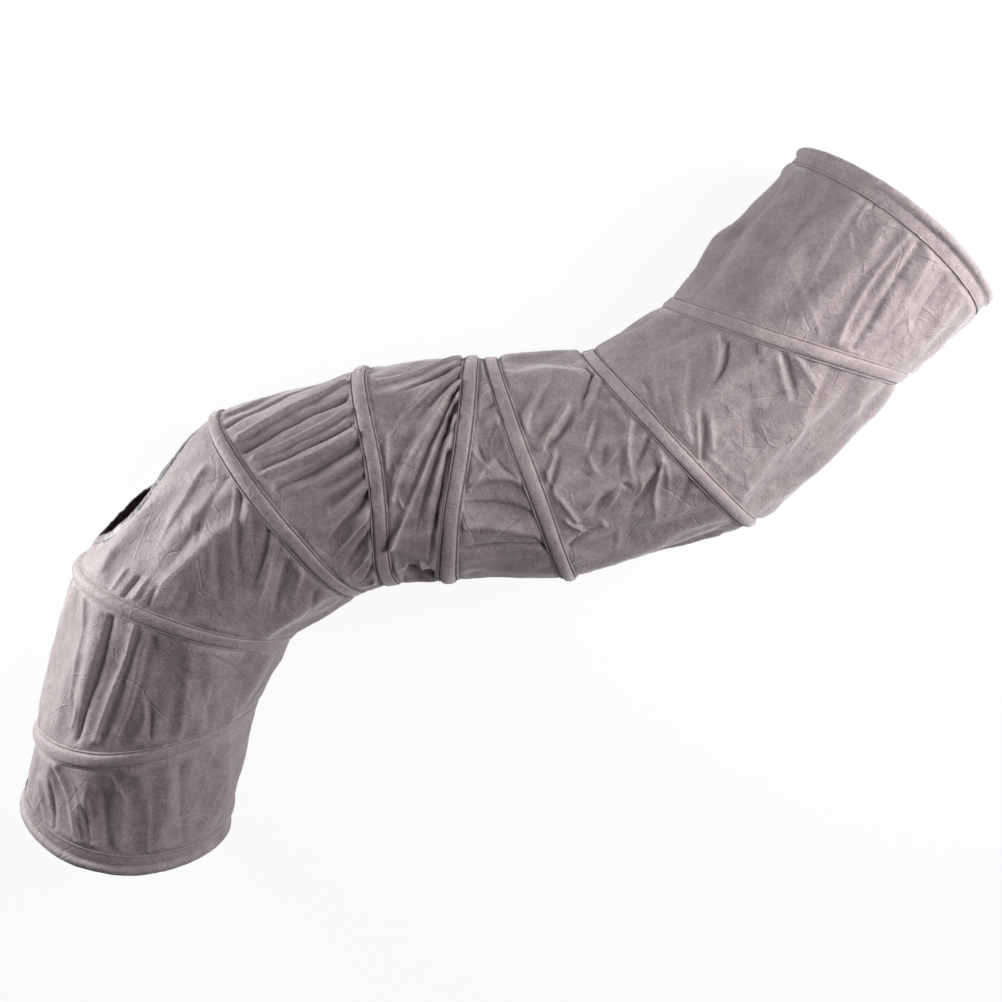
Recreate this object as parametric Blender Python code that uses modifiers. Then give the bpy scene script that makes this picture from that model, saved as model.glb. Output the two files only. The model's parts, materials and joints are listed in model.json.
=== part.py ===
# Cat tunnel: a cloth tube on a coil of spring wire, lying in an S on the floor.
#
# The coil is built as the real one is bound: half turns of wire that lie alternately over
# and under the tube, each in a cloth binding, and each swinging on the next about an upright
# line where the wire stands straight up. Between the half turns the tube wall is a row of
# wedge-shaped cloth panels. Metres, +Z up, the floor is z = 0.

import math

import bmesh
import bpy
from mathutils import Vector
from mathutils.bvhtree import BVHTree

# Clearances
GAP = 0.0003
CAVITY_PLAY = 0.0003

# Coil and cloth
TUBE_DIAMETER = 0.250
WIRE_DIAMETER = 0.0025
BINDING_WIDTH = 0.0185
BINDING_THICKNESS = 0.0010
ROLL_RADIUS = 0.0036
ROLL_FOOT = 0.0004
CLOTH_THICKNESS = 0.0010
CLOTH_SLACK = 0.008
FOLD_DEPTH = 0.003
FOLD_COUNT = 7
LEDGE_FOOT = 0.0005
LEDGE_RISE = 0.0004
LEDGE_SHARE = 0.7

# End hoops
HEM_ROLL_RADIUS = 0.0042
HEM_CLOTH_THICKNESS = 0.0012
HEM_FLANGE = 0.0114
HEM_CREST = 0.0055
HEM_CLEARANCE = 0.001
FERRULE_LENGTH = 0.016
FERRULE_RADIUS = 0.0023
FERRULE_CHAMFER = 0.0004
FERRULE_FACET = 2.5

# Hole in the side of the tube
HOLE_DIAMETER = 0.160
HOLE_DROP = 0.004
HOLE_RIM_RADIUS = 0.0035

# How the tunnel lies: the angle that each half turn makes with the next, in degrees,
# from the lower left end to the upper right one, and the way the first hoop faces
OPENINGS_DEG = [14, 30, 46, 26, 54, 23, 40, 9, 28, 12, 5, 31, 26, 49, 24, 53, 44, 22]
FIRST_HEADING_DEG = -13
HOLE_PANEL = 5
MIDDLE = 9

# Facets
ARC_STEPS = 11
WIRE_SIDES_RESOLUTION = 1
HOLE_SIDES = 24
ROUND_SIDES = 8
CHANNEL_CORNERS_DEG = (135, 45)
SHORTEST_CLOTH = 0.002
SMOOTH_BELOW_DEG = 40
CLOTH_SMOOTH_BELOW_DEG = 60
HINGE_MARK_SIZE = 0.03

# Sizes that follow from those above
HALF_SIDE_DEG = 180 / ROUND_SIDES
ROLL_POINTS_DEG = tuple(HALF_SIDE_DEG * k for k in (1, 3, 5, 7))
HEM_POINTS_DEG = tuple(HALF_SIDE_DEG * k for k in (3, 5, 7, 9, 11))
ROLL_FLAT = ROLL_RADIUS * math.cos(math.radians(HALF_SIDE_DEG))
HEM_FLAT = HEM_ROLL_RADIUS * math.cos(math.radians(HALF_SIDE_DEG))
WIRE_RADIUS = WIRE_DIAMETER / 2
BORE_RADIUS = WIRE_RADIUS + CAVITY_PLAY
REACH = TUBE_DIAMETER / 2
COIL_RADIUS = REACH - ROLL_FLAT
HOOP_RADIUS = REACH - HEM_FLAT
BINDING_SEAT = COIL_RADIUS - WIRE_RADIUS
CLOTH_RADIUS = BINDING_SEAT - GAP
TURNS = len(OPENINGS_DEG) - 1
STEP_ANGLE = math.pi / ARC_STEPS
CENTRE_HEIGHT = REACH * math.cos(STEP_ANGLE / 2)
HOOP_OFFSET = HEM_FLANGE + BINDING_WIDTH / 2 + HEM_CLEARANCE
SEAM = GAP


# Scene
def clear_scene():
    for thing in list(bpy.data.objects):
        bpy.data.objects.remove(thing, do_unlink=True)


def new_collection(name):
    collection = bpy.data.collections.new(name)
    bpy.context.scene.collection.children.link(collection)
    return collection


def new_material(name, colour, roughness, metallic=0.0):
    material = bpy.data.materials.new(name)
    material.use_nodes = True
    shader = material.node_tree.nodes["Principled BSDF"]
    shader.inputs["Base Color"].default_value = (*colour, 1)
    shader.inputs["Roughness"].default_value = roughness
    shader.inputs["Metallic"].default_value = metallic
    material.diffuse_color = (*colour, 1)
    return material


def suede_material():
    return new_material("suede_cloth", (0.31, 0.27, 0.28), 0.9)


def binding_material():
    return new_material("suede_binding", (0.36, 0.32, 0.33), 0.85)


def hem_material():
    return new_material("suede_hem", (0.34, 0.30, 0.31), 0.85)


def satin_material():
    return new_material("satin_edging", (0.22, 0.22, 0.23), 0.5)


def spring_steel_material():
    return new_material("spring_steel", (0.45, 0.45, 0.46), 0.35, 1.0)


def crimp_material():
    return new_material("crimp_steel", (0.6, 0.6, 0.6), 0.3, 1.0)


def add_object(name, data, material, collection, parent):
    thing = bpy.data.objects.new(name, data)
    collection.objects.link(thing)
    if not data.materials:
        data.materials.append(material)
    thing.parent = parent
    return thing


def mesh_from(name, shape, smooth_below_deg=SMOOTH_BELOW_DEG):
    mesh = bpy.data.meshes.new(name)
    shape.to_mesh(mesh)
    shape.free()
    mesh.shade_smooth()
    mesh.set_sharp_from_angle(angle=math.radians(smooth_below_deg))
    return mesh


# Layout on the floor
def heading_vector(angle):
    return Vector((math.cos(angle), math.sin(angle), 0))


def lay_out_coil():
    """The upright lines that the half turns swing on, and the way each half turn runs."""
    headings = [math.radians(FIRST_HEADING_DEG)]
    for joint, opening in enumerate(OPENINGS_DEG, start=1):
        side = -1 if joint % 2 else 1
        headings.append(headings[-1] + math.pi + side * math.radians(opening))
    corners = [Vector((0, 0, 0))]
    for heading in headings:
        corners.append(corners[-1] + 2 * COIL_RADIUS * heading_vector(heading))
    return corners, headings


def lies_over(turn):
    """Even half turns arch over the tube, odd ones pass beneath it."""
    return turn % 2 == 0


def is_hoop(turn):
    return turn in (0, TURNS + 1)


def hinge_corner(turn, corners):
    """The upright line that a half turn swings on, on its way to the middle one."""
    return corners[turn + 1] if turn < MIDDLE else corners[turn]


def add_bodies(corners, headings, collection):
    """One empty for each half turn, on the line it swings on and facing along it."""
    bodies = []
    for turn, heading in enumerate(headings):
        empty = bpy.data.objects.new(body_name(turn), None)
        collection.objects.link(empty)
        empty.empty_display_size = HINGE_MARK_SIZE
        empty.location = hinge_corner(turn, corners)
        empty.rotation_euler = (0, 0, heading)
        bodies.append(empty)
    bpy.context.view_layer.update()
    for turn, empty in enumerate(bodies):
        if turn == MIDDLE:
            continue
        towards_middle = turn + 1 if turn < MIDDLE else turn - 1
        keep = empty.matrix_world.copy()
        empty.parent = bodies[towards_middle]
        empty.matrix_parent_inverse = bodies[towards_middle].matrix_world.inverted()
        empty.matrix_world = keep
    bpy.context.view_layer.update()
    return bodies


def body_name(turn):
    if turn == 0:
        return "hoop_low"
    if turn == TURNS + 1:
        return "hoop_high"
    return f"turn_{turn:02d}"


def centre_along(turn):
    """Where a half turn's centre lies along it, from the line that it swings on."""
    return -COIL_RADIUS if turn < MIDDLE else COIL_RADIUS


def outward_side(turn, headings):
    """Which side of its heading the outside of an end hoop is on."""
    side = 1 if turn == 0 else -1
    neighbour = headings[1] if turn == 0 else headings[TURNS]
    along = heading_vector(headings[turn])
    across = Vector((-along.y, along.x, 0))
    inward = heading_vector(neighbour) if turn == 0 else -heading_vector(neighbour)
    return side if inward.dot(across) * side < 0 else -side


# Wire
def arc_angles(short_by=0.0):
    """The angles of a half turn's points, just short of both ends."""
    shy = (GAP / 2 + short_by) / COIL_RADIUS
    return [shy + (math.pi - 2 * shy) * k / ARC_STEPS for k in range(ARC_STEPS + 1)]


def wire_curve(name, points, cyclic, radius):
    curve = bpy.data.curves.new(name, "CURVE")
    curve.dimensions = "3D"
    curve.bevel_depth = radius
    curve.bevel_resolution = WIRE_SIDES_RESOLUTION
    curve.use_fill_caps = not cyclic
    spline = curve.splines.new("POLY")
    spline.points.add(len(points) - 1)
    for spot, point in zip(spline.points, points):
        spot.co = (*point, 1)
    spline.use_cyclic_u = cyclic
    spline.use_smooth = True
    return curve


def half_turn_wire():
    """A wire's end is square to its first facet, so its rim dips by the lean of that facet."""
    angles = arc_angles(WIRE_RADIUS * math.sin(STEP_ANGLE / 2))
    points = [(COIL_RADIUS * math.cos(a), 0, COIL_RADIUS * math.sin(a)) for a in angles]
    return wire_curve("half_turn_wire", points, False, WIRE_RADIUS)


def hoop_wire():
    angles = [STEP_ANGLE * k for k in range(2 * ARC_STEPS)]
    points = [(HOOP_RADIUS * math.cos(a), 0, HOOP_RADIUS * math.sin(a)) for a in angles]
    return wire_curve("hoop_wire", points, True, WIRE_RADIUS)


def ferrule_tube():
    """A crimped sleeve over the hoop wire's two ends."""
    shape = bmesh.new()
    rings = []
    half = FERRULE_LENGTH / 2
    wall = (
        (BORE_RADIUS, -half),
        (FERRULE_RADIUS - FERRULE_CHAMFER, -half),
        (FERRULE_RADIUS, -half + FERRULE_CHAMFER),
        (FERRULE_RADIUS, half - FERRULE_CHAMFER),
        (FERRULE_RADIUS - FERRULE_CHAMFER, half),
        (BORE_RADIUS, half),
    )
    for radius, along in wall:
        rings.append(shape.verts.new((radius, 0, along)))
    for here, there in zip(rings, rings[1:] + rings[:1]):
        shape.edges.new((here, there))
    mesh = bpy.data.meshes.new("ferrule")
    shape.to_mesh(mesh)
    shape.free()
    return mesh


def screw_round(thing, angle, steps):
    screw = thing.modifiers.new("Screw", "SCREW")
    screw.axis = "Z"
    screw.angle = angle
    screw.steps = steps
    screw.render_steps = steps
    screw.use_merge_vertices = True
    screw.merge_threshold = 0.00001
    screw.use_normal_calculate = True
    return screw


# Bindings and hems
def round_points(centre_radius, radius, angles_deg):
    """Points round the wire, as (across, out from the tube's centre)."""
    angles = [math.radians(a) for a in angles_deg]
    return [(radius * math.cos(a), centre_radius + radius * math.sin(a)) for a in angles]


def binding_section():
    """A strip with a roll over the wire: flat flanges, and a channel open to the cloth."""
    half = BINDING_WIDTH / 2
    top = BINDING_SEAT + BINDING_THICKNESS
    foot = max(ROLL_RADIUS + ROLL_FOOT, BORE_RADIUS + BINDING_THICKNESS)
    roll = round_points(COIL_RADIUS, ROLL_RADIUS, ROLL_POINTS_DEG[1:3])
    shoulder = round_points(COIL_RADIUS, ROLL_RADIUS, ROLL_POINTS_DEG[:1])[0]
    channel = round_points(COIL_RADIUS, BORE_RADIUS * math.sqrt(2), CHANNEL_CORNERS_DEG)
    return [
        (half, BINDING_SEAT),
        (half, top),
        (foot, top),
        shoulder,
        *roll,
        (-shoulder[0], shoulder[1]),
        (-foot, top),
        (-half, top),
        (-half, BINDING_SEAT),
        (-BORE_RADIUS, BINDING_SEAT),
        *channel,
        (BORE_RADIUS, BINDING_SEAT),
    ]


def hem_section():
    """The tube's end folded round the hoop wire and stitched back on itself."""
    bore = HEM_ROLL_RADIUS - HEM_CLOTH_THICKNESS
    outer = round_points(HOOP_RADIUS, HEM_ROLL_RADIUS, HEM_POINTS_DEG)
    inner = round_points(HOOP_RADIUS, bore, HEM_POINTS_DEG)
    top = BINDING_SEAT + HEM_CLOTH_THICKNESS
    return [
        (HEM_FLANGE, BINDING_SEAT),
        (HEM_FLANGE, top),
        (HEM_CREST + HEM_CLOTH_THICKNESS, top),
        *outer,
        *reversed(inner),
        (HEM_CREST, BINDING_SEAT),
    ]


def swept_half_turn(section):
    """The section as a face, spun half way round the tube's centre line."""
    shape = bmesh.new()
    angles = arc_angles()
    start = Vector((math.cos(angles[0]), 0, math.sin(angles[0])))
    corners = [shape.verts.new((out * start.x, across, out * start.z)) for across, out in section]
    face = shape.faces.new(corners)
    bmesh.ops.spin(
        shape,
        geom=[face, *face.edges, *face.verts],
        cent=(0, 0, 0),
        axis=(0, -1, 0),
        dvec=(0, 0, 0),
        angle=angles[-1] - angles[0],
        steps=ARC_STEPS,
        use_duplicate=False,
    )
    bmesh.ops.recalc_face_normals(shape, faces=shape.faces)
    return mesh_from("half_turn_binding", shape)


def hem_profile():
    """The hem's section at +X, ready to be turned right round."""
    shape = bmesh.new()
    corners = [shape.verts.new((out, 0, across)) for across, out in hem_section()]
    for here, there in zip(corners, corners[1:] + corners[:1]):
        shape.edges.new((here, there))
    mesh = bpy.data.meshes.new("hem_profile")
    shape.to_mesh(mesh)
    shape.free()
    return mesh


# Cloth panels
def stations():
    """Places round the tube, from a panel's hinge line over the top and back beneath.

    Each is an angle and a half, +1 over the tube and -1 under it, and the level where the
    halves meet has a place in both."""
    over = [(STEP_ANGLE * k, 1) for k in range(ARC_STEPS + 1)]
    under = [(STEP_ANGLE * k, -1) for k in range(ARC_STEPS, 2 * ARC_STEPS + 1)]
    return over + under


def slack_at(angle):
    """Folds that run from turn to turn, deepest beside the hinge line, on loose cloth."""
    looseness = (1 + math.cos(angle)) / 2
    return CLOTH_SLACK + FOLD_DEPTH * looseness * (1 - math.cos(FOLD_COUNT * angle)) / 2


def ring_point(turn, angle, half, origin, towards, depth):
    """A point where a panel meets a half turn, depth inside the cloth's outer face.

    The cloth is snug under its own binding. Where the half turn has none, the cloth hangs
    inside the bindings next to it, with a small ledge where the two halves meet."""
    bound_half = 1 if lies_over(turn) else -1
    bound = is_hoop(turn) or half == bound_half
    radius = CLOTH_RADIUS - depth if bound else CLOTH_RADIUS - CLOTH_SLACK - depth
    point = origin + towards * (COIL_RADIUS - radius * math.cos(angle))
    point.z = CENTRE_HEIGHT + radius * math.sin(angle)
    if abs(math.sin(angle)) < math.sin(STEP_ANGLE / 2):
        if is_hoop(turn):
            point.z = CENTRE_HEIGHT + half * LEDGE_RISE
        else:
            rise = LEDGE_FOOT + (LEDGE_RISE if bound else 0)
            point.z = CENTRE_HEIGHT + bound_half * (rise + depth * LEDGE_SHARE)
    return point


def middle_point(angle, half, opening, origin, bisector, depth):
    """A point halfway across a panel, drawn straight on the side far from the hinge line."""
    reach = CLOTH_RADIUS - slack_at(angle) - depth
    cosine = math.cos(angle)
    if cosine > 0:
        along = COIL_RADIUS - reach * cosine
    else:
        far = (COIL_RADIUS + reach) * math.cos(opening / 2) ** 2
        along = COIL_RADIUS - cosine * (far - COIL_RADIUS)
    point = origin + bisector * (along / math.cos(opening / 2))
    point.z = CENTRE_HEIGHT + reach * math.sin(angle)
    if abs(math.sin(angle)) < math.sin(STEP_ANGLE / 2):
        point.z = CENTRE_HEIGHT + half * LEDGE_RISE / 2
    return point


def seam_step(towards, bisector, turn):
    """How far a panel's edge stays off its half turn, or off the roll of the hem."""
    across = (bisector - towards * bisector.dot(towards)).normalized()
    return across * (HEM_CREST - HOOP_OFFSET if is_hoop(turn) else SEAM)


def panel_stations(opening, reaches_hoop):
    """The places at which a panel has cloth: all round, but for the slit at its hinge line."""
    kept = []
    for angle, half in stations():
        width = 2 * math.sin(opening / 2) * (COIL_RADIUS - CLOTH_RADIUS * math.cos(angle))
        if reaches_hoop or width >= SHORTEST_CLOTH:
            kept.append((angle, half))
    return kept


def panel_mesh(joint, corners, headings):
    """One wedge of cloth, both faces lofted from one half turn to the next."""
    before, after = joint - 1, joint
    opening = math.radians(OPENINGS_DEG[joint - 1])
    hinge = corners[joint]
    back = -heading_vector(headings[before])
    ahead = heading_vector(headings[after])
    bisector = (back + ahead).normalized()
    step_before = seam_step(back, bisector, before)
    step_after = seam_step(ahead, bisector, after)
    step_middle = Vector((0, 0, 0))
    if is_hoop(before):
        step_middle = step_before / 2
    elif is_hoop(after):
        step_middle = step_after / 2
    reaches_hoop = is_hoop(before) or is_hoop(after)
    places = panel_stations(opening, reaches_hoop)
    shape = bmesh.new()
    skins = []
    for depth in (0, CLOTH_THICKNESS):
        rows = []
        for angle, half in places:
            first = ring_point(before, angle, half, hinge, back, depth) + step_before
            last = ring_point(after, angle, half, hinge, ahead, depth) + step_after
            middle = middle_point(angle, half, opening, hinge, bisector, depth) + step_middle
            rows.append([shape.verts.new(point) for point in (first, middle, last)])
        skins.append(rows)
    loft_skins(shape, skins, reaches_hoop)
    bmesh.ops.recalc_face_normals(shape, faces=shape.faces)
    return mesh_from(f"panel_{joint:02d}", shape, CLOTH_SMOOTH_BELOW_DEG)


def loft_skins(shape, skins, whole):
    """Faces over both skins, along both seams and, on an open strip, across its two ends."""
    outer, inner = skins
    order = list(range(len(outer))) + ([0] if whole else [])
    for here, there in zip(order, order[1:]):
        for rows in skins:
            for k in range(2):
                add_quad(shape, rows[here][k], rows[here][k + 1], rows[there][k + 1], rows[there][k])
        for edge in (0, 2):
            add_quad(shape, outer[here][edge], outer[there][edge], inner[there][edge], inner[here][edge])
    if not whole:
        for end in (0, -1):
            for k in range(2):
                add_quad(shape, outer[end][k], outer[end][k + 1], inner[end][k + 1], inner[end][k])


def add_quad(shape, *corners):
    """Two triangles, so that a bent quad is cut the same way on both skins."""
    first, second, third, fourth = corners
    shape.faces.new((first, second, third))
    shape.faces.new((first, third, fourth))


# Hole and its edging
def hole_frame(corners, headings):
    """The hole's axis: out of the wide side of its panel, a little under half height."""
    towards_before = -heading_vector(headings[HOLE_PANEL - 1])
    towards_after = heading_vector(headings[HOLE_PANEL])
    outward = (towards_before + towards_after).normalized()
    centre = corners[HOLE_PANEL] + outward * COIL_RADIUS
    centre.z = CENTRE_HEIGHT - HOLE_DROP
    return centre, outward


def cut_hole(panel, centre, outward, cutters):
    bpy.ops.mesh.primitive_cylinder_add(
        vertices=HOLE_SIDES, radius=HOLE_DIAMETER / 2, depth=TUBE_DIAMETER, end_fill_type="NGON"
    )
    cutter = bpy.context.object
    cutter.name = "hole_cutter"
    for collection in list(cutter.users_collection):
        collection.objects.unlink(cutter)
    cutters.objects.link(cutter)
    cutter.location = centre + outward * (TUBE_DIAMETER / 2)
    cutter.rotation_euler = outward.to_track_quat("Z", "Y").to_euler()
    cutter.parent = panel.parent
    cutter.matrix_parent_inverse = panel.parent.matrix_world.inverted()
    cutter.hide_render = True
    cutter.display_type = "WIRE"
    boolean = panel.modifiers.new("Hole", "BOOLEAN")
    boolean.operation = "DIFFERENCE"
    boolean.object = cutter
    return cutter


def rim_points(panel, centre, outward):
    """Points just inside the hole's edge, level with the middle of the wall at that edge."""
    tree = BVHTree.FromObject(panel, bpy.context.evaluated_depsgraph_get())
    sideways = Vector((-outward.y, outward.x, 0))
    upright = Vector((0, 0, 1))
    edge = HOLE_DIAMETER / 2
    seat = edge * math.cos(math.pi / HOLE_SIDES) - HOLE_RIM_RADIUS - GAP
    points = []
    for k in range(HOLE_SIDES):
        angle = 2 * math.pi * k / HOLE_SIDES
        way = sideways * math.cos(angle) + upright * math.sin(angle)
        wall = tree.ray_cast(centre + way * edge, outward)[0]
        out = (wall - centre).dot(outward) + CLOTH_THICKNESS / 2
        points.append(centre + way * seat + outward * out)
    return points


# Assembly
def add_turn(turn, shared, parts, bodies):
    """One half turn of wire in its binding, over or under the tube."""
    for kind in ("wire", "binding"):
        data, material = shared[kind]
        piece = add_object(f"{kind}_{turn:02d}", data, material, parts, bodies[turn])
        piece.location = (centre_along(turn), 0, CENTRE_HEIGHT)
        piece.rotation_euler = (0 if lies_over(turn) else math.pi, 0, 0)


def add_hoop(turn, shared, parts, bodies, headings):
    """An end hoop: a whole ring of wire, its crimp and the hem folded round it."""
    ending = "low" if turn == 0 else "high"
    outward = outward_side(turn, headings)
    centre = Vector((centre_along(turn), outward * HOOP_OFFSET, CENTRE_HEIGHT))
    wire, wire_paint = shared["hoop_wire"]
    ring = add_object(f"hoop_wire_{ending}", wire, wire_paint, parts, bodies[turn])
    ring.location = centre
    profile, cloth = shared["hem"]
    hem = add_object(f"hem_{ending}", profile, cloth, parts, bodies[turn])
    hem.location = centre
    hem.rotation_euler = (math.radians(90) * outward, 0, 0)
    screw_round(hem, 2 * math.pi, 2 * ARC_STEPS)
    sleeve, steel = shared["ferrule"]
    ferrule = add_object(f"ferrule_{ending}", sleeve, steel, parts, bodies[turn])
    middle_of_facet = STEP_ANGLE * FERRULE_FACET
    reach = HOOP_RADIUS * math.cos(STEP_ANGLE / 2)
    offset = Vector((math.cos(middle_of_facet), 0, math.sin(middle_of_facet))) * reach
    ferrule.location = centre + offset
    ferrule.rotation_euler = (0, -middle_of_facet, 0)
    screw_round(ferrule, 2 * math.pi, ROUND_SIDES)


def add_panel(joint, corners, headings, cloth, parts, bodies):
    """One cloth panel, on the body that swings at its hinge line."""
    child = joint - 1 if joint <= MIDDLE else joint
    mesh = panel_mesh(joint, corners, headings)
    panel = add_object(f"panel_{joint:02d}", mesh, cloth, parts, bodies[child])
    panel.matrix_parent_inverse = bodies[child].matrix_world.inverted()
    return panel


def add_hole(panel, corners, headings, parts, cutters):
    centre, outward = hole_frame(corners, headings)
    bpy.context.view_layer.update()
    points = rim_points(panel, centre, outward)
    curve = wire_curve("hole_rim", points, True, HOLE_RIM_RADIUS)
    rim = add_object("hole_rim", curve, satin_material(), parts, panel.parent)
    rim.matrix_parent_inverse = panel.parent.matrix_world.inverted()
    cut_hole(panel, centre, outward, cutters)


def centre_on_floor(parts, middle_body):
    """Moves the whole tunnel so that its bounding box is centred on the origin."""
    bpy.context.view_layer.update()
    graph = bpy.context.evaluated_depsgraph_get()
    low = Vector((math.inf,) * 3)
    high = Vector((-math.inf,) * 3)
    for thing in parts.objects:
        shown = thing.evaluated_get(graph)
        mesh = shown.to_mesh()
        for vertex in mesh.vertices:
            place = shown.matrix_world @ vertex.co
            low = Vector(map(min, low, place))
            high = Vector(map(max, high, place))
        shown.to_mesh_clear()
    shift = Vector((-(low.x + high.x) / 2, -(low.y + high.y) / 2, -low.z))
    middle_body.location += shift
    bpy.context.view_layer.update()
    return shift, high - low


def print_layout(bodies, shift, size):
    print("overall size in metres:", [round(side, 4) for side in size])
    for turn, body in enumerate(bodies):
        place = body.matrix_world.translation
        print("hinge line of", body_name(turn), round(place.x, 5), round(place.y, 5))
    print("drop to the floor:", round(shift.z, 6))


def main():
    clear_scene()
    parts = new_collection("cat_tunnel")
    frames = new_collection("hinge_lines")
    cutters = new_collection("cutters")
    corners, headings = lay_out_coil()
    bodies = add_bodies(corners, headings, frames)
    shared = {
        "wire": (half_turn_wire(), spring_steel_material()),
        "binding": (swept_half_turn(binding_section()), binding_material()),
    }
    shared["hoop_wire"] = (hoop_wire(), shared["wire"][1])
    shared["hem"] = (hem_profile(), hem_material())
    shared["ferrule"] = (ferrule_tube(), crimp_material())
    for turn in range(TURNS + 2):
        if is_hoop(turn):
            add_hoop(turn, shared, parts, bodies, headings)
        else:
            add_turn(turn, shared, parts, bodies)
    cloth = suede_material()
    for joint in range(1, TURNS + 2):
        panel = add_panel(joint, corners, headings, cloth, parts, bodies)
        if joint == HOLE_PANEL:
            add_hole(panel, corners, headings, parts, cutters)
    shift, size = centre_on_floor(parts, bodies[MIDDLE])
    print_layout(bodies, shift, size)


main()
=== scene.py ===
import json
import math

import bmesh
import bpy
import numpy as np
from mathutils import Euler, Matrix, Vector, noise


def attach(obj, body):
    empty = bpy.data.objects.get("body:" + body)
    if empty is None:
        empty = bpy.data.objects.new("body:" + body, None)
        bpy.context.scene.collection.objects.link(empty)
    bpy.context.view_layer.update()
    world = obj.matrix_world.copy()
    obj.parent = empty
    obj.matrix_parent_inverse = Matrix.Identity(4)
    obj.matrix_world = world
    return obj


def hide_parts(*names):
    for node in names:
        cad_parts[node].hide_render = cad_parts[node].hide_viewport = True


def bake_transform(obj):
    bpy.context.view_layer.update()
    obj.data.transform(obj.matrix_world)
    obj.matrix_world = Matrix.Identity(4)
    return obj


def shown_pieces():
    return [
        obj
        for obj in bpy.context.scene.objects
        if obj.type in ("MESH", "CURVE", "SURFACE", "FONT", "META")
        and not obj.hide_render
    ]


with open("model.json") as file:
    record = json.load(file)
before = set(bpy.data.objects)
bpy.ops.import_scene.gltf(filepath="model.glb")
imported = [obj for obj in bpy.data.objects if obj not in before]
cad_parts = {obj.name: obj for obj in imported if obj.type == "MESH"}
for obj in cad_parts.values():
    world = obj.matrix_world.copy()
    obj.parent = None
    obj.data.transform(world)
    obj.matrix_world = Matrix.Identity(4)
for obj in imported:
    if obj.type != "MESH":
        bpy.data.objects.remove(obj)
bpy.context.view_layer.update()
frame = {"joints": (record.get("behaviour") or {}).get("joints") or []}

# Cat tunnel, laid in an S on a white table. The wire's half turns lie over and under the tube
# in turn and hinge on each other at its two sides. Corner 0, 2, 4 ... are on the left side,
# corner 1, 3, 5 ... on the right, and half turn i runs from corner i to corner i + 1.

# Camera first
lens = {"place": (0.0655, 0.285, 1.605), "turn": (-0.1868, 0.0275, 0.0), "focal": 50.17, "sensor": 36.0}
cameraData = bpy.data.cameras.new("camera")
cameraData.lens = lens["focal"]
cameraData.sensor_width = lens["sensor"]
camera = bpy.data.objects.new("camera", cameraData)
camera.location = lens["place"]
camera.rotation_euler = lens["turn"]
bpy.context.scene.collection.objects.link(camera)
bpy.context.scene.camera = camera
print("camera set")


# How the tunnel lies
coil = {
    "wireRing": 0.121674,      # radius of the wire's line
    "clothRing": 0.1199,       # radius of the cloth where a tape holds it
    "hoopOut": 0.02165,        # the end hoops stand this far outside their half turn's plane
    "firstHeading": -13.0,
    "closedDeg": 4.5,          # the least opening of two half turns, and beside an end hoop
    "closedEndDeg": 2.0,
    "openDeg": 56.0,
}
joints = sorted(frame["joints"], key=lambda j: j["name"])
lastJoint = len(joints)
allJoints = range(1, lastJoint + 1)
allBays = range(-1, lastJoint)
middleHeight = joints[0]["pos_m"][2]
segmentBody = ["hoop_low"] + [f"turn_{i:02d}" for i in range(1, lastJoint)] + ["hoop_high"]


def restOpening(number):
    low = joints[number - 1]["range_deg"][0]
    return coil["closedEndDeg" if number in (1, lastJoint) else "closedDeg"] - low


openings = [restOpening(n) for n in allJoints]


def turned(vector, degrees):
    a = math.radians(degrees)
    return np.array([
        vector[0] * math.cos(a) - vector[1] * math.sin(a),
        vector[0] * math.sin(a) + vector[1] * math.cos(a),
    ])


# all corners in a row, with one more before the first and after the last
def layOut(openingList, ring):
    heading = turned((1.0, 0.0), coil["firstHeading"])
    corners = [np.zeros(2), heading * 2 * ring]
    for n, opening in enumerate(openingList, start=1):
        heading = turned(-heading, -opening if n % 2 else opening)
        corners.append(corners[-1] + heading * 2 * ring)
    return np.array([corners[1]] + corners + [corners[-2]])


corners = layOut(openings, coil["wireRing"])
corners += np.array(joints[0]["pos_m"][:2]) - corners[2]


def cornerAt(layout, number):
    return layout[number + 1]


def cornerDrift(number):
    return np.linalg.norm(cornerAt(corners, number) - np.array(joints[number - 1]["pos_m"][:2]))


furthest = max(cornerDrift(n) for n in allJoints)
print("corners laid out, furthest from a hinge line", round(float(furthest) * 1000, 3), "mm")


# left and right end of half turn `number`
def sidesOf(layout, number):
    a, b = cornerAt(layout, number), cornerAt(layout, number + 1)
    return (a, b) if number % 2 == 0 else (b, a)


# points of half turn `number`'s ring at the angles phi; 0 is right, 90 degrees is up; wire is
# the radius with which the corners were laid out
def ringPoints(layout, number, phi, ring, wire=coil["wireRing"]):
    left, right = sidesOf(layout, number)
    centre, half = (left + right) / 2, (right - left) / 2 * (ring / wire)
    return np.stack([
        centre[0] + half[0] * np.cos(phi),
        centre[1] + half[1] * np.cos(phi),
        middleHeight + ring * np.sin(phi),
    ], axis=-1)


# the angle at a share of the way along half turn `number`
def phiAlong(number, share):
    return math.pi * (1 - share) if number % 2 == 0 else math.pi * (2 - share)


# level direction out of the tunnel at an end hoop
def outwardNormal(number, layout=corners):
    a, b = cornerAt(layout, number), cornerAt(layout, number + 1)
    along = (b - a) / np.linalg.norm(b - a)
    side = np.array([-along[1], along[0]])
    inside = cornerAt(layout, 3 if number == 0 else lastJoint - 3) - (a + b) / 2
    return side if side @ inside < 0 else -side


def smoothStep(low, high, x):
    t = np.clip((x - low) / (high - low), 0, 1)
    return t * t * (3 - 2 * t)


def unit(rows):
    return rows / np.maximum(np.linalg.norm(rows, axis=-1, keepdims=True), 1e-12)


# distance from a line's start at each of its points
def lengthsAlong(line):
    return np.concatenate([[0.0], np.cumsum(np.linalg.norm(np.diff(line, axis=0), axis=1))])


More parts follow.
